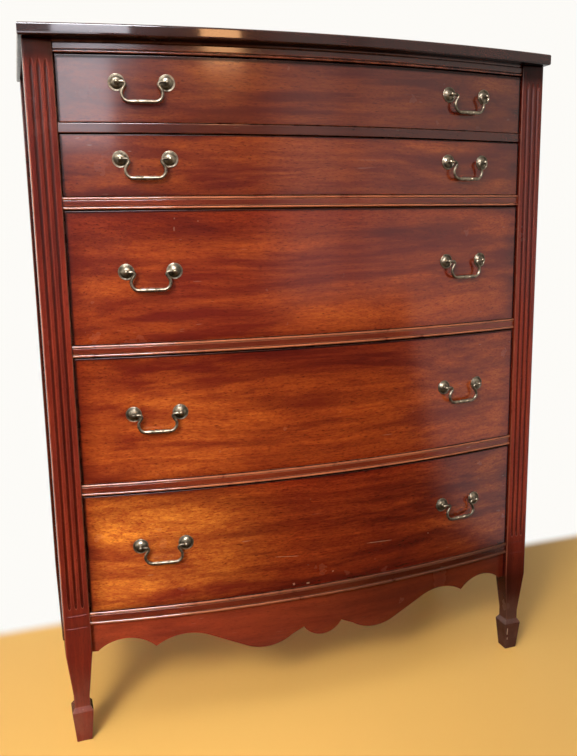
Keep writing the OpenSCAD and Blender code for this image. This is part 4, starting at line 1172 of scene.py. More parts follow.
@dataclass(frozen=True)
class Rail:
    """A rail between drawers, with its moulding carried along the bow.

    bead is the width of a bead, proud how far it stands out, quirk the width of the groove beside it, and
    sink that groove's depth. A plain rail has no bead. past is how far behind the flat back the section
    reaches before it is cut there, and lip the height of the line of painted shade along its edges.
    sunk_grime is how dark painted shade makes the grooves, and aged how much painted shade darkens the
    rail towards its right.
    """

    node: str
    bow: Bow
    rear_y: float
    bead: float = 4.0 * MM
    proud: float = 1.0 * MM
    quirk: float = 0.9 * MM
    sink: float = 0.8 * MM
    strip: float = 3.2 * MM
    band: float = 1.2 * MM
    bead_steps: int = 12
    steps: int = 120
    past: float = 60.0 * MM
    lip: float = 0.3 * MM
    moulding: Moulding = Moulding.BEADED
    # Painted shade in the grooves and towards the right.
    sunk_grime: float = 0.8
    aged: float = 0.0

    def build(self, finishes: Finishes) -> Piece:
        """Sweeps the moulding's profile along the bow.

        Args:
            finishes: the chest's finishes.

        Returns:
            The rail.
        """
        low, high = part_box(self.node)
        makers = {Moulding.BEADED: self.beaded_face, Moulding.PLAIN: self.plain_face,
                  Moulding.TOP: self.top_face}
        face, wear = makers[self.moulding](high[2] - low[2])
        deep = self.rear_y - self.bow.apex_y + self.past
        back = np.array([[deep, face[-1, 1]], [deep, face[0, 1]]])
        profile = np.concatenate([face, back]) + np.array([0.0, low[2]])
        weights = np.concatenate([wear, [0, 0]])
        half = self.bow.chord / 2
        stations = np.linspace(-half, half, self.steps + 1)
        # Painted shade: in the grooves, in a thin line along the edges, and growing towards the right.
        sunk = np.clip(profile[:, 0] / self.sink, 0, 1) * self.sunk_grime
        outer = np.minimum(profile[:, 1] - low[2], high[2] - profile[:, 1]) < self.lip
        grime = np.maximum(sunk, outer * np.clip(profile[:, 0] / MM, 0, 1))
        aged = self.aged * np.interp(stations, RIGHT_SHADE_FROM_TO, [0, 1])
        grime = np.maximum(grime[None, :], aged[:, None])
        skin = Skin()
        skin.loft(sweep_on_bow(self.bow, profile, stations, self.rear_y), wear=weights[None, :], grime=grime)
        look = "rail" if self.moulding is Moulding.BEADED else "dark_rail"
        return skin.finish(f"{self.node}_moulding", finishes.lacquers[look], 50.0)

    def bead_line(self, low: float) -> Array:
        """Gives a half-round bead from its lower to its upper edge, as (depth, z)."""
        a = np.linspace(-np.pi / 2, np.pi / 2, self.bead_steps)
        r = self.bead / 2
        return columns(r - self.proud - r * np.cos(a), low + r + r * np.sin(a))

    def beaded_face(self, h: float) -> tuple[Array, Array]:
        """Gives the face of a rail with a bead at each edge, from the bottom up."""
        lower, upper = self.bead_line(0.0), self.bead_line(h - self.bead)
        s = self.sink
        q = 0.25 * MM
        low, high = self.bead, h - self.bead
        middle = np.array([
            [s, low], [s, low + self.quirk], [q, low + self.quirk], [0, low + self.quirk + q],
            [0, low + self.quirk + 3 * q], [0, high - self.quirk - 3 * q], [0, high - self.quirk - q],
            [q, high - self.quirk], [s, high - self.quirk], [s, high]])
        wear = np.concatenate([self.bead_wear(), [0, 0, 1, 1, 0, 0, 1, 1, 0, 0], self.bead_wear()])
        return np.concatenate([lower, middle, upper]), wear

    def top_face(self, h: float) -> tuple[Array, Array]:
        """Gives the top rail's face: a bead, a groove, a raised band, a groove and a thin strip."""
        s, q, b = self.sink, 0.35 * MM, self.band
        band_low, band_high = self.bead + self.quirk, h - self.strip - self.quirk
        rest = np.array([
            [s, self.bead], [s, band_low], [q - b, band_low], [-b, band_low + q], [-b, band_low + 3 * q],
            [-b, band_high - 3 * q], [-b, band_high - q], [q - b, band_high], [s, band_high],
            [s, h - self.strip], [q, h - self.strip], [0, h - self.strip + q], [0, h - q], [0, h]])
        wear = np.concatenate([self.bead_wear(), [0, 0, 1, 1, 0, 0, 1, 1, 0, 0, 1, 1, 0, 0]])
        return np.concatenate([self.bead_line(0.0), rest]), wear

    def plain_face(self, h: float) -> tuple[Array, Array]:
        """Gives the flat face of the plain rail, with eased edges."""
        r = 0.8 * MM
        a = np.linspace(0, np.pi / 2, 5)
        low = columns(r - r * np.sin(a), r - r * np.cos(a))
        high = columns(r - r * np.cos(a), h - r + r * np.sin(a))
        inner = np.array([[0, 2 * r], [0, h - 2 * r]])
        wear = np.concatenate([np.sin(2 * a), [0, 0], np.sin(2 * a)])
        return np.concatenate([low, inner, high]), wear

    def bead_wear(self) -> Array:
        """Gives the wear weights over a bead, most at its crown."""
        return np.sin(np.linspace(0, np.pi, self.bead_steps))


@dataclass(frozen=True)
class Apron:
    """The scalloped apron: arcs and a sloping line, carried along the bow behind the bottom rail.

    Distances are measured from the bottom rail's underside downwards and from the middle or a post sideways,
    as on the drawing of the chest. near is how close to each turn of the outline the extra points lie, and
    steps how many others there are. aged is how much painted shade darkens the apron towards its
    right.
    """

    bow: Bow
    recess: float = 8.0 * MM
    thickness: float = 20.0 * MM
    edge_r: float = 1.2 * MM
    end_drop: float = 55.0 * MM
    end_w: float = 10.0 * MM
    outer_x: float = 59.0 * MM
    outer_r: float = 70.0 * MM
    outer_top: float = 35.5 * MM
    inner_x: float = 163.0 * MM
    inner_r: float = 93.0 * MM
    inner_top: float = 38.7 * MM
    lobe_x: float = 109.0 * MM
    lobe_r: float = 85.0 * MM
    lobe_drop: float = 86.0 * MM
    lobe_inner_w: float = 49.0 * MM
    mid_half_w: float = 37.0 * MM
    mid_drop: float = 80.5 * MM
    mid_cusp: float = 59.8 * MM
    near: float = 0.4 * MM
    steps: int = 129
    # Painted shade towards the right.
    aged: float = 0.70

    def build(self, finishes: Finishes) -> Piece:
        """Lofts the apron's section from one post to the other.

        Args:
            finishes: the chest's finishes.

        Returns:
            The apron.
        """
        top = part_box("front_apron")[1][2]
        half = self.bow.chord / 2
        turns = self.turning_points(half)
        right = np.unique(np.concatenate([
            np.linspace(0, half, self.steps + 1), turns, turns - self.near,
            np.minimum(turns + self.near, half)]))
        drop = self.drop_at(right, half)
        stations = np.concatenate([-right[:0:-1], right])
        drop = np.concatenate([drop[:0:-1], drop])
        near, far = self.recess, self.recess + self.thickness
        corners = np.stack([columns(np.full_like(z, depth), z) for depth, z in (
            (near, top + 0 * drop), (near, top - drop), (far, top - drop), (far, top + 0 * drop))], axis=1)
        radii = np.array([0.1 * MM, self.edge_r, self.edge_r, 0.1 * MM])
        loop, wear = rounded_loop(corners, np.broadcast_to(radii, corners.shape[:2]), divide=[8, 0, 4, 0])
        skin = Skin()
        # Painted shade that grows towards the right.
        grime = self.aged * np.interp(stations, RIGHT_SHADE_FROM_TO, [0, 1])
        skin.loft(sweep_on_bow(self.bow, loop, stations, 1.0), wear=wear[None, :], grime=grime[:, None])
        return skin.finish("scalloped_apron", finishes.lacquers["apron"], 35.0)

    def circles(self, half: float) -> dict[str, tuple[float, float, float]]:
        """Gives each arc's centre (x, height below the rail, negative downwards) and radius."""
        mid_rise = self.mid_drop - self.mid_cusp
        mid_r = (self.mid_half_w**2 + mid_rise**2) / (2 * mid_rise)
        return {
            "mid": (0.0, self.mid_drop - mid_r, mid_r),
            "lobe": (self.lobe_x, self.lobe_drop - self.lobe_r, self.lobe_r),
            "inner": (half - self.inner_x, self.inner_top + self.inner_r, self.inner_r),
            "outer": (half - self.outer_x, self.outer_top + self.outer_r, self.outer_r)}

    def turning_points(self, half: float) -> Array:
        """Gives the x of each place where one stretch of the edge meets the next.

        The sloping line is the inner common tangent of the wide lobe and the inner arch, so it touches each
        circle where their radii at its angle end. The arches meet where their circles cross.
        """
        c = self.circles(half)
        lobe, inner, outer = c["lobe"], c["inner"], c["outer"]
        dx, dz = lobe[0] - inner[0], lobe[1] - inner[1]
        span = math.hypot(dx, dz)
        lean = math.atan2(-dz, dx) - math.acos((lobe[2] + inner[2]) / span)
        tangent_inner = inner[0] + inner[2] * math.cos(lean)
        tangent_lobe = lobe[0] - lobe[2] * math.cos(lean)
        gap_x, gap_z = outer[0] - inner[0], outer[1] - inner[1]
        apart = math.hypot(gap_x, gap_z)
        along = (inner[2] ** 2 - outer[2] ** 2 + apart**2) / (2 * apart)
        off = math.sqrt(inner[2] ** 2 - along**2)
        meet = inner[0] + along * gap_x / apart + off * gap_z / apart
        return np.array([self.lobe_x - self.lobe_inner_w, self.mid_half_w, tangent_lobe, tangent_inner, meet,
                         half - self.end_w])

    def drop_at(self, x: Array, half: float) -> Array:
        """Gives how far the lower edge lies below the rail at each x, to the right of the middle.

        Args:
            x: distances from the middle.
            half: half the width between the posts.

        Returns:
            The drop at each x: arcs, joined by straight lines between their ends.
        """
        c = self.circles(half)
        lobe_in, mid_end, lobe_out, slope_end, meet, flat = self.turning_points(half)

        def arc(name: str, places: Array, sign: float) -> Array:
            """Gives a circle's drop at each place, on its lower (+1) or upper (-1) half."""
            cx, cz, r = c[name]
            return cz + sign * np.sqrt(np.maximum(r**2 - (places - cx) ** 2, 0))

        ends = np.array([mid_end, lobe_in, lobe_out, slope_end])
        end_drops = np.array([arc("mid", ends[:1], 1)[0], arc("lobe", ends[1:2], 1)[0],
                              arc("lobe", ends[2:3], 1)[0], arc("inner", ends[3:], -1)[0]])
        line = np.interp(x, ends, end_drops)
        return np.select(
            [x <= mid_end, x <= lobe_in, x <= lobe_out, x <= slope_end, x <= meet, x <= flat],
            [arc("mid", x, 1), line, arc("lobe", x, 1), line, arc("inner", x, -1), arc("outer", x, -1)],
            default=self.end_drop)


@dataclass(frozen=True)
class DrawerFront:
    """A drawer's curved front board with eased edges and a border toned darker.

    The veneer is darker towards its left by left and towards its top by crown, and painted shade darkens it
    towards its right by right.
    The zones say over which stretch each comes in: x for left and right, and the distance below the top edge
    for crown. Past its fade, right keeps four fifths of its strength and crown two fifths.
    """

    number: int
    bow: Bow
    thickness: float = 22.0 * MM
    edge_r: float = 1.0 * MM
    border: float = 38.0 * MM
    end_step: float = 0.1 * MM
    left: float = 0.0
    # right is the strength of the painted shade towards the right.
    right: float = 0.0
    crown: float = 0.0
    left_zone: tuple[float, float] = (-0.20, -0.38)
    right_zone: tuple[float, float] = (-0.36, -0.04)
    right_fade: tuple[float, float] = (0.15, 0.38)
    crown_zone: tuple[float, float] = (75.0 * MM, 20.0 * MM)
    crown_fade: tuple[float, float] = (0.0, 0.25)

    def build(self, finishes: Finishes) -> Piece:
        """Sweeps a rounded board section along the bow and draws it in at both ends.

        Args:
            finishes: the chest's finishes.

        Returns:
            The drawer front.
        """
        low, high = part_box(f"drawer_{self.number}_front")
        half, r = high[0] - self.end_step, self.edge_r
        turn = np.linspace(0, np.pi / 2, 6)
        end_x, end_inset = half - r + r * np.sin(turn), r - r * np.cos(turn)
        body = np.linspace(-(half - r - 0.4 * MM), half - r - 0.4 * MM, 131)
        x = np.concatenate([-end_x[::-1], body, end_x])
        inset = np.concatenate([end_inset[::-1], 0 * body, end_inset])
        near, far = 0 * x + inset, self.thickness - inset
        bottom, top = low[2] + inset, high[2] - inset
        corners = np.stack([columns(*p) for p in ((near, top), (near, bottom), (far, bottom), (far, top))], 1)
        radii = np.repeat(np.maximum(r - inset, 1e-5)[:, None], 4, axis=1)
        loop, wear = rounded_loop(corners, radii, divide=[22, 0, 4, 0])
        loops = sweep_on_bow(self.bow, loop, x, high[1] - 1e-5)
        ends = np.interp(np.abs(x), [half - r, half - 0.3 * r, half], [0, 1, 0])
        wear = np.maximum(np.broadcast_to(wear, loops.shape[:2]), ends[:, None] * (loop[..., 0] < 2 * r))
        # Painted shade on the edges that lie deep in the gaps round the front.
        reach = self.bow.radius - np.hypot(loops[..., 0], self.bow.axis_y - loops[..., 1])
        level = np.minimum(high[2] - loops[..., 2], loops[..., 2] - low[2])
        edge = np.minimum(level, half - np.abs(loops[..., 0]))
        grime = np.clip((reach - 0.7 * r) / r, 0, 1) * (edge < 0.5 * r)
        skin = Skin()
        skin.loft(loops, wear=wear, shade=self.tone(loops, half, low[2], high[2]), grime=grime)
        return skin.finish(f"drawer_{self.number}_veneered_front", finishes.veneers[self.number - 1])

    def tone(self, points: Array, half: float, low: float, high: float) -> Array:
        """Gives the toned border, the darkening across the veneer and the painted shade towards the right.

        Args:
            points: array (k, m, 3).
            half: half the front's width.
            low: its lower edge.
            high: its upper edge.

        Returns:
            A weight (k, m), 1 at the border.
        """

        def smooth(value: Array, start: float, end: float) -> Array:
            """Rises smoothly from 0 at start to 1 at end."""
            t = np.clip((value - start) / (end - start), 0, 1)
            return t * t * (3 - 2 * t)

        x, z = points[..., 0], points[..., 2]
        side = np.clip(1 - (half - np.abs(x)) / self.border, 0, 1)
        edge = np.minimum(z - low, high - z)
        level = np.clip(1 - edge / (0.45 * self.border), 0, 1)
        light = 1 - np.clip(np.maximum(side**1.5, 0.7 * level**1.5), 0, 1)
        light = light * (1 - self.left * smooth(x, *self.left_zone))
        # Painted shade towards the right.
        right = smooth(x, *self.right_zone) * (1 - 0.2 * smooth(x, *self.right_fade))
        crown = smooth(high - z, *self.crown_zone) * (1 - 0.6 * smooth(x, *self.crown_fade))
        return 1 - light * (1 - self.right * right) * (1 - self.crown * crown)


@dataclass(frozen=True)
class PullMounts:
    """The four rosettes of a drawer with their posts, nuts and shanks.

    ring gives how far outside the dome the raised ring lies, half its width and its height, and sunk the
    share of the flange's thickness on which ring and dome stand. collar gives the radius, width and height
    of the swelling round the dome's middle. A post's seat starts seat_sink below the dome's top, seat_in is
    its step inwards, and seat_at gives the heights where it steps in, ends and meets the neck.
    """

    number: int
    bow: Bow
    pivots: tuple[Place, ...]
    spacing: float = 76.2 * MM
    rosette_r: float = 13.0 * MM
    rim: float = 0.8 * MM
    flange: float = 1.2 * MM
    dome_r: float = 10.0 * MM
    dome_h: float = 4.0 * MM
    ball_r: float = 3.6 * MM
    pivot_h: float = 10.0 * MM
    seat_r: float = 3.25 * MM
    neck_r: float = 2.25 * MM
    shank_r: float = 2.0 * MM
    front_t: float = 22.0 * MM
    nut_w: float = 9.0 * MM
    nut_t: float = 3.2 * MM
    shank_end: float = 3.0 * MM
    thread_pitch: float = 0.8 * MM
    thread_depth: float = 0.25 * MM
    ring: tuple[float, float, float] = (0.9 * MM, 0.45 * MM, 0.5 * MM)
    sunk: float = 0.75
    collar: tuple[float, float, float] = (6.3 * MM, 0.5 * MM, 0.25 * MM)
    seat_sink: float = 0.5 * MM
    seat_in: float = 0.5 * MM
    seat_at: tuple[float, float, float] = (0.9 * MM, 1.4 * MM, 1.9 * MM)

    def build(self, finishes: Finishes) -> Piece:
        """Turns each rosette, post and shank, and adds its nut.

        Args:
            finishes: the chest's finishes.

        Returns:
            One object with the drawer's four mounts.
        """
        skin = Skin()
        step = math.asin(self.spacing / 2 / self.bow.radius)
        for x, _, z in self.pivots:
            middle = math.asin(x / (self.bow.radius + self.pivot_h))
            for end in (-1, 1):
                face, tangent, outward = self.bow.frame_at(middle + end * step)
                face = face + z * UP
                for (profile, wear), turns in ((self.rosette_profile(), 56), (self.post_profile(), 32),
                                               ((self.shank_profile(), 0.0), 20)):
                    skin.lathe(profile, face, outward, tangent, turns, wear)
                self.add_nut(skin, face, tangent, outward)
        return skin.finish(f"drawer_{self.number}_rosettes", finishes.brass, 45.0)

    def rosette_profile(self) -> tuple[Array, Array]:
        """Gives the rosette's (radius, height) from its back, over the rim and dome, to the middle.

        The rim is a half round, then a shallow groove, a fine raised ring, and the dome, whose height is a
        cap of a sphere.
        """
        a = np.linspace(-0.5 * np.pi, np.pi, 12)
        rim_c = self.rosette_r - self.rim
        rim = columns(rim_c + self.rim * np.cos(a), self.rim + self.rim * np.sin(a))
        gap, half_w, ring_h = self.ring
        ring_r, foot = self.dome_r + gap, self.flange * self.sunk
        ring_a = np.linspace(0, np.pi, 7)
        ring = columns(ring_r + half_w * np.cos(ring_a), foot + ring_h * np.sin(ring_a))
        cap_r = (self.dome_r**2 + self.dome_h**2) / (2 * self.dome_h)
        r = np.linspace(self.dome_r, 0, 22)
        height = foot + np.sqrt(cap_r**2 - r**2) - (cap_r - self.dome_h)
        collar_r, collar_w, collar_h = self.collar
        dome = columns(r, height + collar_h * np.exp(-(((r - collar_r) / collar_w) ** 2)))
        line = np.concatenate([[[0.0, 0.0]], rim, ring, dome])
        wear = np.concatenate([[0], np.clip(np.sin(a), 0, 1), np.sin(ring_a), 0.55 - 0.35 * (r > 8.5 * MM)])
        return line, wear

    def post_profile(self) -> tuple[Array, Array]:
        """Gives the post's (radius, height): a seat on the dome, a waisted neck and the ball."""
        base = self.flange + self.dome_h - self.seat_sink
        step, end, neck = (base + height for height in self.seat_at)
        seat = np.array([[0, base], [self.seat_r, base], [self.seat_r, step],
                         [self.seat_r - self.seat_in, end], [self.neck_r, neck]])
        start = -math.acos(self.neck_r / self.ball_r)
        a = np.linspace(start, np.pi / 2, 16)
        ball = columns(self.ball_r * np.cos(a), self.pivot_h + self.ball_r * np.sin(a))
        wear = np.concatenate([[0, 0.4, 0.6, 0.3, 0.0], 0.4 + 0.6 * np.clip(np.sin(a), 0, 1)])
        return np.concatenate([seat, ball]), wear

    def shank_profile(self) -> Array:
        """Gives the threaded shank's (radius, height), with the thread as even ridges at its end."""
        end = -(self.front_t + self.nut_t + self.shank_end)
        threads = int((self.nut_t + 2 * self.shank_end) / self.thread_pitch)
        z = end + self.thread_pitch * 0.5 * np.arange(2 * threads + 1)
        r = self.shank_r - self.thread_depth * (np.arange(2 * threads + 1) % 2)
        plain = [[self.shank_r, 0.0], [self.shank_r, self.flange], [0, self.flange]]
        return np.concatenate([[[0, end]], columns(r, z), plain])

    def add_nut(self, skin: Skin, face: Array, tangent: Array, outward: Array) -> None:
        """Adds the square nut inside the drawer front, with chamfered corners.

        Args:
            skin: the surfaces to add to.
            face: the post's foot on the show face.
            tangent: unit vector to the right along the face.
            outward: unit vector out of the face.
        """
        w, c = self.nut_w / 2, 0.8 * MM
        outline = np.array([[-w + c, -w], [w - c, -w], [w, -w + c], [w, w - c], [w - c, w], [-w + c, w],
                            [-w, w - c], [-w, -w + c]])
        levels = np.array([[1.0, -self.front_t - 0.02 * MM], [1.0, -self.front_t - self.nut_t + 0.4 * MM],
                           [0.9, -self.front_t - self.nut_t]])
        loops = np.stack([
            face + level * outward + (scale * outline[:, :1]) * tangent + (scale * outline[:, 1:]) * UP
            for scale, level in levels])
        skin.loft(loops)


@dataclass(frozen=True)
class Bail:
    """A swan-neck bail: a round bar along straight lengths and two bends a side, with a collared grip.

    Past the grip the bar is at its swell, then thinner by swell_less, then thicker than plain by bar_more,
    and last plain, at the distances in past_grip. barrel is how much thinner the grip is at its ends. A
    ring leans by ring_lean to each side and is ring_w wide, with a groove beside it: ring_groove gives the
    groove's depth, its place and its width, the last two against the ring's width.
    """

    number: int
    side: Side
    pivot: Place
    tangent: Place
    half: float
    pin_r: float = 1.5 * MM
    pin_reach: float = 1.2 * MM
    shoulder: float = 3.95 * MM
    bar_r: float = 2.4 * MM
    arm: float = 9.0 * MM
    neck_r: float = 4.0 * MM
    corner_r: float = 12.0 * MM
    swan: float = 5.0 * MM
    turn_deg: float = 125.0
    grip_half: float = 7.3 * MM
    grip_r: float = 3.35 * MM
    swell_r: float = 3.25 * MM
    ring_r: float = 3.55 * MM
    past_grip: tuple[float, ...] = (0.0, 7.0 * MM, 15.0 * MM, 24.0 * MM)
    swell_less: float = 0.1 * MM
    bar_more: float = 0.2 * MM
    barrel: float = 0.2 * MM
    ring_lean: float = 1.5 * MM
    ring_w: float = 0.75 * MM
    ring_groove: tuple[float, float, float] = (0.6 * MM, 1.7, 0.30)

    def build(self, finishes: Finishes) -> Piece:
        """Sweeps the bar's round section along its centre line.

        Args:
            finishes: the chest's finishes.

        Returns:
            The bail.
        """
        left = self.half_line()
        line = np.concatenate([left, (left * np.array([-1.0, 1.0]))[-2::-1]])
        step = np.gradient(line, axis=0)
        along = step / np.linalg.norm(step, axis=1, keepdims=True)
        normal = columns(-along[:, 1], along[:, 0])
        reach = np.concatenate([[0], np.cumsum(np.linalg.norm(np.diff(line, axis=0), axis=1))])
        a = np.linspace(0, 2 * np.pi, 24, endpoint=False)
        radius = self.radius_at(reach, reach[-1], a)
        tangent = np.array(self.tangent)
        outward = np.cross(tangent, UP)
        centre = np.array(self.pivot) + line[:, :1] * tangent + line[:, 1:] * UP
        side = normal[:, :1] * tangent + normal[:, 1:] * UP
        ring = np.cos(a)[None, :, None] * side[:, None, :] + np.sin(a)[None, :, None] * outward
        loops = centre[:, None, :] + radius[..., None] * ring
        skin = Skin()
        wear = np.interp(np.abs(reach - reach[-1] / 2), [0, 14 * MM, 30 * MM, 50 * MM], [1.0, 0.9, 0.6, 0.3])
        skin.loft(loops, wear=wear[:, None])
        return skin.finish(f"drawer_{self.number}_{self.side.word}_bail_pull", finishes.brass, 60.0)

    def half_line(self) -> Array:
        """Gives the centre line from the left pin to the middle of the grip, as (along, up).

        It runs level out of the ball, bends down and back through turn_deg, runs straight, and bends the
        other way through the same turn until it is level again.
        """
        lean = math.radians(self.turn_deg - 90)
        out = np.array([math.cos(lean), -math.sin(lean)])
        down = np.array([-math.sin(lean), -math.cos(lean)])
        neck = np.array([self.arm, -self.neck_r])
        neck_end = neck + self.neck_r * out
        swan_end = neck_end + self.swan * down
        corner = swan_end + self.corner_r * out
        first = np.linspace(np.pi / 2, -lean, 14)
        second = np.linspace(np.pi - lean, 1.5 * np.pi, 26)
        level_x = np.linspace(corner[0], self.half, 60)[1:]
        line = np.concatenate([
            columns(np.linspace(-self.pin_reach, self.arm, 14)[:-1], np.zeros(13)),
            neck + self.neck_r * columns(np.cos(first), np.sin(first)),
            neck_end + np.linspace(0, 1, 6)[1:-1, None] * self.swan * down,
            corner + self.corner_r * columns(np.cos(second), np.sin(second)),
            columns(level_x, np.full_like(level_x, corner[1] - self.corner_r))])
        return line - np.array([self.half, 0.0])

    def radius_at(self, reach: Array, length: float, angle: Array) -> Array:
        """Gives the bar's radius at each distance along it and each angle round it.

        The bar swells from the corners towards the grip. Two slanted rings bound the grip: each is a bump in
        distance that moves along the bar with the cosine of the angle.

        Args:
            reach: distance along the centre line.
            length: its whole length.
            angle: angles round the bar.

        Returns:
            Radii as an array (len(reach), len(angle)).
        """
        middle = np.abs(reach - length / 2)
        pin_end = self.pin_reach + self.shoulder
        radii = [self.swell_r, self.swell_r - self.swell_less, self.bar_r + self.bar_more, self.bar_r]
        base = np.interp(middle - self.grip_half, self.past_grip, radii)
        grip = self.grip_r - self.barrel * (middle / self.grip_half) ** 2
        base = np.where(middle < self.grip_half, grip, base)
        base = np.where(np.minimum(reach, length - reach) < pin_end, self.pin_r, base)
        slant = self.ring_lean * np.cos(angle)[None, :] * np.sign(reach - length / 2)[:, None]
        from_ring = (middle[:, None] - self.grip_half - slant) / self.ring_w
        ring = (self.ring_r - base[:, None]) * np.exp(-(from_ring**2))
        deep, place, spread = self.ring_groove
        groove = deep * np.exp(-((np.abs(from_ring) - place) ** 2) / spread)
        return base[:, None] + np.maximum(ring, 0) - groove


class Chest:
    """The whole chest: shapes the show surfaces over the frame and dresses what stays.

    RAILS gives each rail's node, its moulding, the width of its bead and how much painted shade darkens it
    towards its right. RIGHT_GRIME is the painted shade of the right front post. TONING gives each drawer
    front's left, right and crown, from the top, and its right is painted shade.
    """

    RISE = 41.0 * MM
    # The last value of each rail is how much painted shade darkens it towards its right.
    RAILS = (("top_rail", Moulding.TOP, 4.0 * MM, 0.0), ("drawer_rail_1", Moulding.PLAIN, 4.0 * MM, 0.0),
             *((f"drawer_rail_{k}", Moulding.BEADED, 4.0 * MM, 0.0) for k in (2, 3, 4)),
             ("bottom_rail", Moulding.BEADED, 5.0 * MM, 0.78))
    # Painted shade on the right front post's leg and upper end, and on each drawer towards its right.
    RIGHT_GRIME = {"leg_grime": 0.85, "top_grime": 0.5}
    TONING = ((0.6, 0.0, 0.0), (0.5, 0.0, 0.0), (0.4, 0.38, 0.9), (0.3, 0.68, 0.4), (0.05, 0.92, 0.4))

    def __init__(self, frame: dict, finishes: Finishes) -> None:
        """Reads the curve of the front from the frame.

        Args:
            finishes: the chest's finishes.
        """
        self.frame = frame
        self.finishes = finishes
        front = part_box("drawer_3_front")
        rail_low, rail_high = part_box("front_apron")
        self.bow = Bow(rail_high[0] - rail_low[0], self.RISE, front[0][1])
        self.rear_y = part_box("drawer_rail_1")[1][1]
        self.slots = {row["node"]: row["material_slot"] for row in frame["record"]["subparts"]}
        self.made: list[str] = []

    def place(self, piece: Piece, body: str, node: str) -> None:
        """Declares that a piece rides on a body and stands for a CAD node.

        Args:
            piece: the new piece.
            body: the body's name.
            node: the node that it replaces.
        """
        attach(piece, body)
        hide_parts(node)
        self.made.append(piece.name)
        LOG.info("%s stands for %s on %s", piece.name, node, body)

    def build_case(self) -> None:
        """Builds the top, posts, rails and apron."""
        self.place(TopBoard().build(self.finishes), "case", "top_board")
        for side in Side:
            post = FrontPost(side, **(self.RIGHT_GRIME if side is Side.RIGHT else {}))
            self.place(post.build(self.finishes), "case", f"{side.word}_front_post")
            self.place(RearPost(side).build(self.finishes), "case", f"{side.word}_rear_post")
        for node, moulding, bead, aged in self.RAILS:
            rail = Rail(node, self.bow, self.rear_y, bead=bead, moulding=moulding, aged=aged)
            self.place(rail.build(self.finishes), "case", node)
        self.place(Apron(self.bow).build(self.finishes), "case", "front_apron")

    def build_drawers(self) -> None:
        """Builds each drawer's front, its pull mounts and its bails."""
        swings = {joint["child"]: joint for joint in self.frame["joints"]}
        for k, (left, right, crown) in enumerate(self.TONING, 1):
            front = DrawerFront(k, self.bow, left=left, right=right, crown=crown)
            self.place(front.build(self.finishes), f"drawer_{k}", f"drawer_{k}_front")
            hinges = [swings[f"bail_{k}_{side.word}"] for side in Side]
            pivots = tuple(tuple(hinge["pos_m"]) for hinge in hinges)
            mounts = PullMounts(k, self.bow, pivots)
            self.place(mounts.build(self.finishes), f"drawer_{k}", f"drawer_{k}_pull_mounts")
            ball_half = (self.bow.radius + mounts.pivot_h) * mounts.spacing / 2 / self.bow.radius
            for side, hinge in zip(Side, hinges):
                tangent = tuple(-value for value in hinge["axis"])
                bail = Bail(k, side, tuple(hinge["pos_m"]), tangent, ball_half)
                self.place(bail.build(self.finishes), f"bail_{k}_{side.word}", f"drawer_{k}_{side.word}_bail")

    def dress_nodes(self) -> None:
        """Gives each CAD node that stays its finish."""
        f = self.finishes
        looks = {"back_panel": f.back, "back_rails": f.box_across, "drawer_stops": f.box_across,
                 "top_screws": f.steel}
        for side in Side:
            looks[f"{side.word}_side_panel"] = f.lacquers["side"]
            looks[f"{side.word}_drawer_runners"] = f.box_along
        for k in range(1, 6):
            looks |= {f"drawer_{k}_{board}": f.box_across for board in ("back", "bottom")}
            looks |= {f"drawer_{k}_{side.word}_side": f.box_along for side in Side}
        for node, material in looks.items():
            mesh = self.frame["nodes"][node].data
            mesh.materials.clear()
            mesh.materials.append(material)
            LOG.info("%s keeps its shape, in %s", node, material.name)


@dataclass(frozen=True)
class Lamp:
    """A soft rectangular lamp.

    at is its place, towards the point it faces, size its width and height. seen tells whether it shows in
    reflections, lights whether it lights matt surfaces, and spread_deg is the angle of its beam.
    """

    name: str
    at: Place
    towards: Place
    size: tuple[float, float]
    watts: float
    colour: Colour
    seen: bool = True
    lights: bool = True
    spread_deg: float = 180.0

    def build(self) -> None:
        """Adds the lamp to the scene."""
        data = bpy.data.lights.new(self.name, "AREA")
        data.shape = "RECTANGLE"
        data.size, data.size_y = self.size
        data.energy = self.watts
        data.color = self.colour
        data.spread = math.radians(self.spread_deg)
        lamp = bpy.data.objects.new(self.name, data)
        lamp.location = self.at
        lamp.rotation_euler = (Vector(self.towards) - Vector(self.at)).to_track_quat("-Z", "Y").to_euler()
        lamp.visible_camera = False
        lamp.visible_glossy = self.seen
        lamp.visible_diffuse = self.lights
        bpy.context.scene.collection.objects.link(lamp)


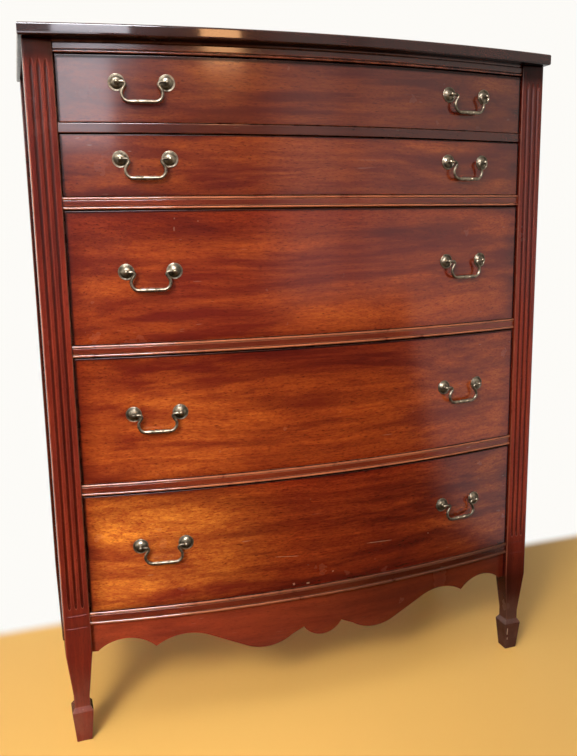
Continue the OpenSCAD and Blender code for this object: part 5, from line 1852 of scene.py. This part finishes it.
@dataclass(frozen=True)
class Studio:
    """The floor, the lights and the camera at the photograph's viewing angle.

    floor_glow is how much light of its own the floor shows the camera, and fade where, behind the chest, the
    floor gives way to the wall. mirrored_floor is how bright the floor is in reflections. side_wall says
    where a pale wall takes its place there: the slope of its foot, and where it starts and ends. wall_from is
    how far to the right that wall begins, and mirrored_wall how bright it is. room lists how bright the
    surround is in reflections: pairs of an angle in degrees, from straight in front of the chest towards its
    right, and a brightness. low_left is how far the room's left is dimmed below eye level, left_from, left_to
    and left_height say where, and soft is the strength of the even light on matt surfaces.
    """

    camera_at: Place = (-0.48348, -1.47612, 0.89378)
    yaw_deg: float = 19.0925
    pitch_deg: float = -10.2996
    roll_deg: float = 0.8626
    lens_px: float = 794.21
    centre_px: tuple[float, float] = (297.62, 364.22)
    image_px: tuple[int, int] = (577, 756)
    sensor_w: float = 36.0
    clip_end: float = 50.0
    floor_colour: Colour = (0.89, 0.53, 0.15)
    floor_size: float = 7.0
    floor_glow: float = 0.05
    fade: tuple[float, float] = (0.25, 0.31)
    wall_colour: Colour = (0.98, 0.965, 0.93)
    mirrored_floor: float = 0.12
    side_wall: tuple[float, float, float] = (0.68, 0.20, 0.50)
    wall_from: tuple[float, float] = (0.72, 1.00)
    mirrored_wall: float = 0.65
    room: tuple[tuple[float, float], ...] = (
        (-180, 0.95), (-105, 1.60), (-75, 2.20), (-45, 1.40), (-30, 0.40), (-24, 0.15), (-8, 0.08),
        (10, 0.08), (17, 0.75), (23, 0.75), (26, 0.42), (29, 0.72), (40, 0.75), (65, 0.65), (90, 0.45),
        (130, 0.50), (180, 0.95))
    room_tint: Colour = (1.0, 0.95, 0.88)
    low_left: float = 0.75
    left_from: tuple[float, float] = (-0.45, -0.65)
    left_to: tuple[float, float] = (-2.6, -2.2)
    left_height: tuple[float, float] = (0.05, -0.10)
    soft: float = 0.16
    soft_colour: Colour = (1.0, 0.95, 0.90)
    lamps: tuple[Lamp, ...] = (
        Lamp("window_low", (-1.53, -3.30, 1.58), (-0.15, 0.0, 1.58), (1.14, 0.50), 10.0, (0.92, 0.91, 1.0),
             lights=False),
        Lamp("window_high", (-1.04, -3.30, 2.20), (-0.15, 0.0, 2.20), (0.70, 0.70), 19.5, (0.92, 0.91, 1.0),
             lights=False),
        Lamp("lit_shade", (0.145, -3.30, 2.01), (-0.15, 0.0, 2.01), (0.37, 0.57), 12.0, (1.0, 0.50, 0.215),
             lights=False),
        Lamp("window_top", (-0.95, -2.60, 3.00), (-0.2, -0.1, 0.8), (1.2, 0.9), 230.0, (0.92, 0.93, 1.0),
             lights=False),
        Lamp("daylight", (-2.00, -2.70, 2.70), (-0.15, 0.0, 0.95), (1.7, 1.7), 11.0, (1.0, 0.97, 0.93),
             seen=False, spread_deg=60.0),
        Lamp("side_light", (-1.5, -1.90, 1.80), (-0.3, -0.15, 0.25), (0.6, 0.6), 5.0, (1.0, 0.92, 0.72),
             seen=False, spread_deg=60.0),
        Lamp("overhead", (-0.8, -0.80, 2.8), (-0.3, -0.6, 0.0), (1.3, 0.6), 23.0, (1.0, 0.96, 0.90),
             seen=False),
        Lamp("fill", (2.6, -2.4, 2.3), (0.0, 0.0, 0.7), (1.8, 1.8), 2.0, (1.0, 0.95, 0.88), seen=False))

    def build(self) -> None:
        """Makes the camera, the floor, the lamps and the world."""
        self.make_camera()
        self.make_floor()
        for lamp in self.lamps:
            lamp.build()
        self.make_world()

    def make_camera(self) -> None:
        """Places the camera from its yaw, pitch and roll, with the shift of the photograph's framing."""
        yaw, pitch, roll = (math.radians(a) for a in (self.yaw_deg, self.pitch_deg, self.roll_deg))
        forward = Vector((math.sin(yaw) * math.cos(pitch), math.cos(yaw) * math.cos(pitch), math.sin(pitch)))
        level = Vector((math.cos(yaw), -math.sin(yaw), 0.0))
        down = forward.cross(level)
        right = math.cos(roll) * level + math.sin(roll) * down
        down = math.cos(roll) * down - math.sin(roll) * level
        width, height = self.image_px
        data = bpy.data.cameras.new("photo_camera")
        data.sensor_fit = "HORIZONTAL"
        data.sensor_width = self.sensor_w
        data.lens = self.lens_px / width * data.sensor_width
        data.shift_x = (width / 2 - self.centre_px[0]) / width
        data.shift_y = (self.centre_px[1] - height / 2) / width
        data.clip_end = self.clip_end
        camera = bpy.data.objects.new("photo_camera", data)
        axes = Matrix((right, -down, -forward)).transposed().to_4x4()
        camera.matrix_world = Matrix.Translation(self.camera_at) @ axes
        bpy.context.scene.collection.objects.link(camera)
        bpy.context.scene.camera = camera

    def make_floor(self) -> None:
        """Makes the plain floor. It is the background's colour behind the chest and dim in reflections."""
        size = self.floor_size
        mesh = bpy.data.meshes.new("floor")
        corners = [(-size, -size, 0), (size, -size, 0), (size, size, 0), (-size, size, 0)]
        mesh.from_pydata(corners, [], [(0, 1, 2, 3)])
        floor = bpy.data.objects.new("floor", mesh)
        bpy.context.scene.collection.objects.link(floor)
        material, t = new_material("pale_floor")
        place = t.node("SeparateXYZ", vector=t.node("TexCoord").outputs["Object"])
        rays = t.node("LightPath")
        camera, glossy = rays.outputs["Is Camera Ray"], rays.outputs["Is Glossy Ray"]
        behind = t.ramp(place.outputs["Y"], *self.fade)
        wood = t.node("BsdfPrincipled", base_color=self.floor_colour, roughness=0.5, specular_ior_level=0.3)
        glow = t.node("Emission", color=self.floor_colour, strength=t.times(camera, self.floor_glow))
        wall = t.node("Emission", color=self.wall_colour, strength=1.0)
        lit = t.node("AddShader", i0=wood.outputs[0], i1=glow.outputs[0])
        seen = t.node("MixShader", i0=t.times(behind, camera), i1=lit.outputs[0], i2=wall.outputs[0])
        slope, start, end = self.side_wall
        across = t.plus(place.outputs["X"], t.times(place.outputs["Y"], slope))
        beyond = t.times(t.ramp(across, start, end), t.ramp(place.outputs["X"], *self.wall_from))
        near = t.node("Emission", color=self.floor_colour, strength=self.mirrored_floor)
        far = t.node("Emission", color=self.wall_colour, strength=self.mirrored_wall)
        mirror = t.node("MixShader", i0=t.most(beyond, behind), i1=near.outputs[0], i2=far.outputs[0])
        both = t.node("MixShader", i0=glossy, i1=seen.outputs[0], i2=mirror.outputs[0])
        t.node("OutputMaterial", surface=both.outputs[0])
        mesh.materials.append(material)

    def make_world(self) -> None:
        """Gives a pale background, an even soft light, and a room of uneven brightness in reflections."""
        world = bpy.data.worlds.new("surround")
        world.use_nodes = True
        bpy.context.scene.world = world
        world.node_tree.nodes.clear()
        t = Tree(world.node_tree)
        way = t.node("SeparateXYZ", vector=t.node("TexCoord").outputs["Generated"])
        turn = t.math("ARCTAN2", way.outputs["X"], t.times(way.outputs["Y"], -1.0))
        ramp = t.node("ValToRGB", i0=t.plus(t.math("DIVIDE", turn, 2 * math.pi), 0.5))
        stops = ramp.color_ramp.elements
        for angle, bright in self.room:
            ends = {-180: stops[0], 180: stops[len(stops) - 1]}
            stop = ends[angle] if angle in ends else stops.new(angle / 360 + 0.5)
            stop.color = (*(bright * part for part in self.room_tint), 1)
        left = t.times(t.ramp(turn, *self.left_from), t.ramp(turn, *self.left_to))
        low_left = t.times(left, t.ramp(way.outputs["Z"], *self.left_height))
        strength = t.minus(1.0, t.times(low_left, self.low_left))
        rays = t.node("LightPath")
        wall = t.node("Background", color=self.wall_colour, strength=1.0)
        soft = t.node("Background", color=self.soft_colour, strength=self.soft)
        mirror = t.node("Background", color=ramp.outputs[0], strength=strength)
        lit = t.node("MixShader", i0=rays.outputs["Is Glossy Ray"], i1=soft.outputs[0], i2=mirror.outputs[0])
        seen = t.node("MixShader", i0=rays.outputs["Is Camera Ray"], i1=lit.outputs[0], i2=wall.outputs[0])
        t.node("OutputWorld", surface=seen.outputs[0])


def main() -> None:
    """Builds the chest over its frame, dresses it, and sets the stage."""
    logging.basicConfig(level=logging.INFO, format="%(name)s: %(message)s")
    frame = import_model()
    bpy.context.scene.view_settings.view_transform = "Standard"
    finishes = Finishes(Effects())
    chest = Chest(frame, finishes)
    chest.build_case()
    chest.build_drawers()
    chest.dress_nodes()
    Studio().build()
    LOG.info("%d pieces shaped", len(chest.made))


if __name__ == "__main__":
    main()
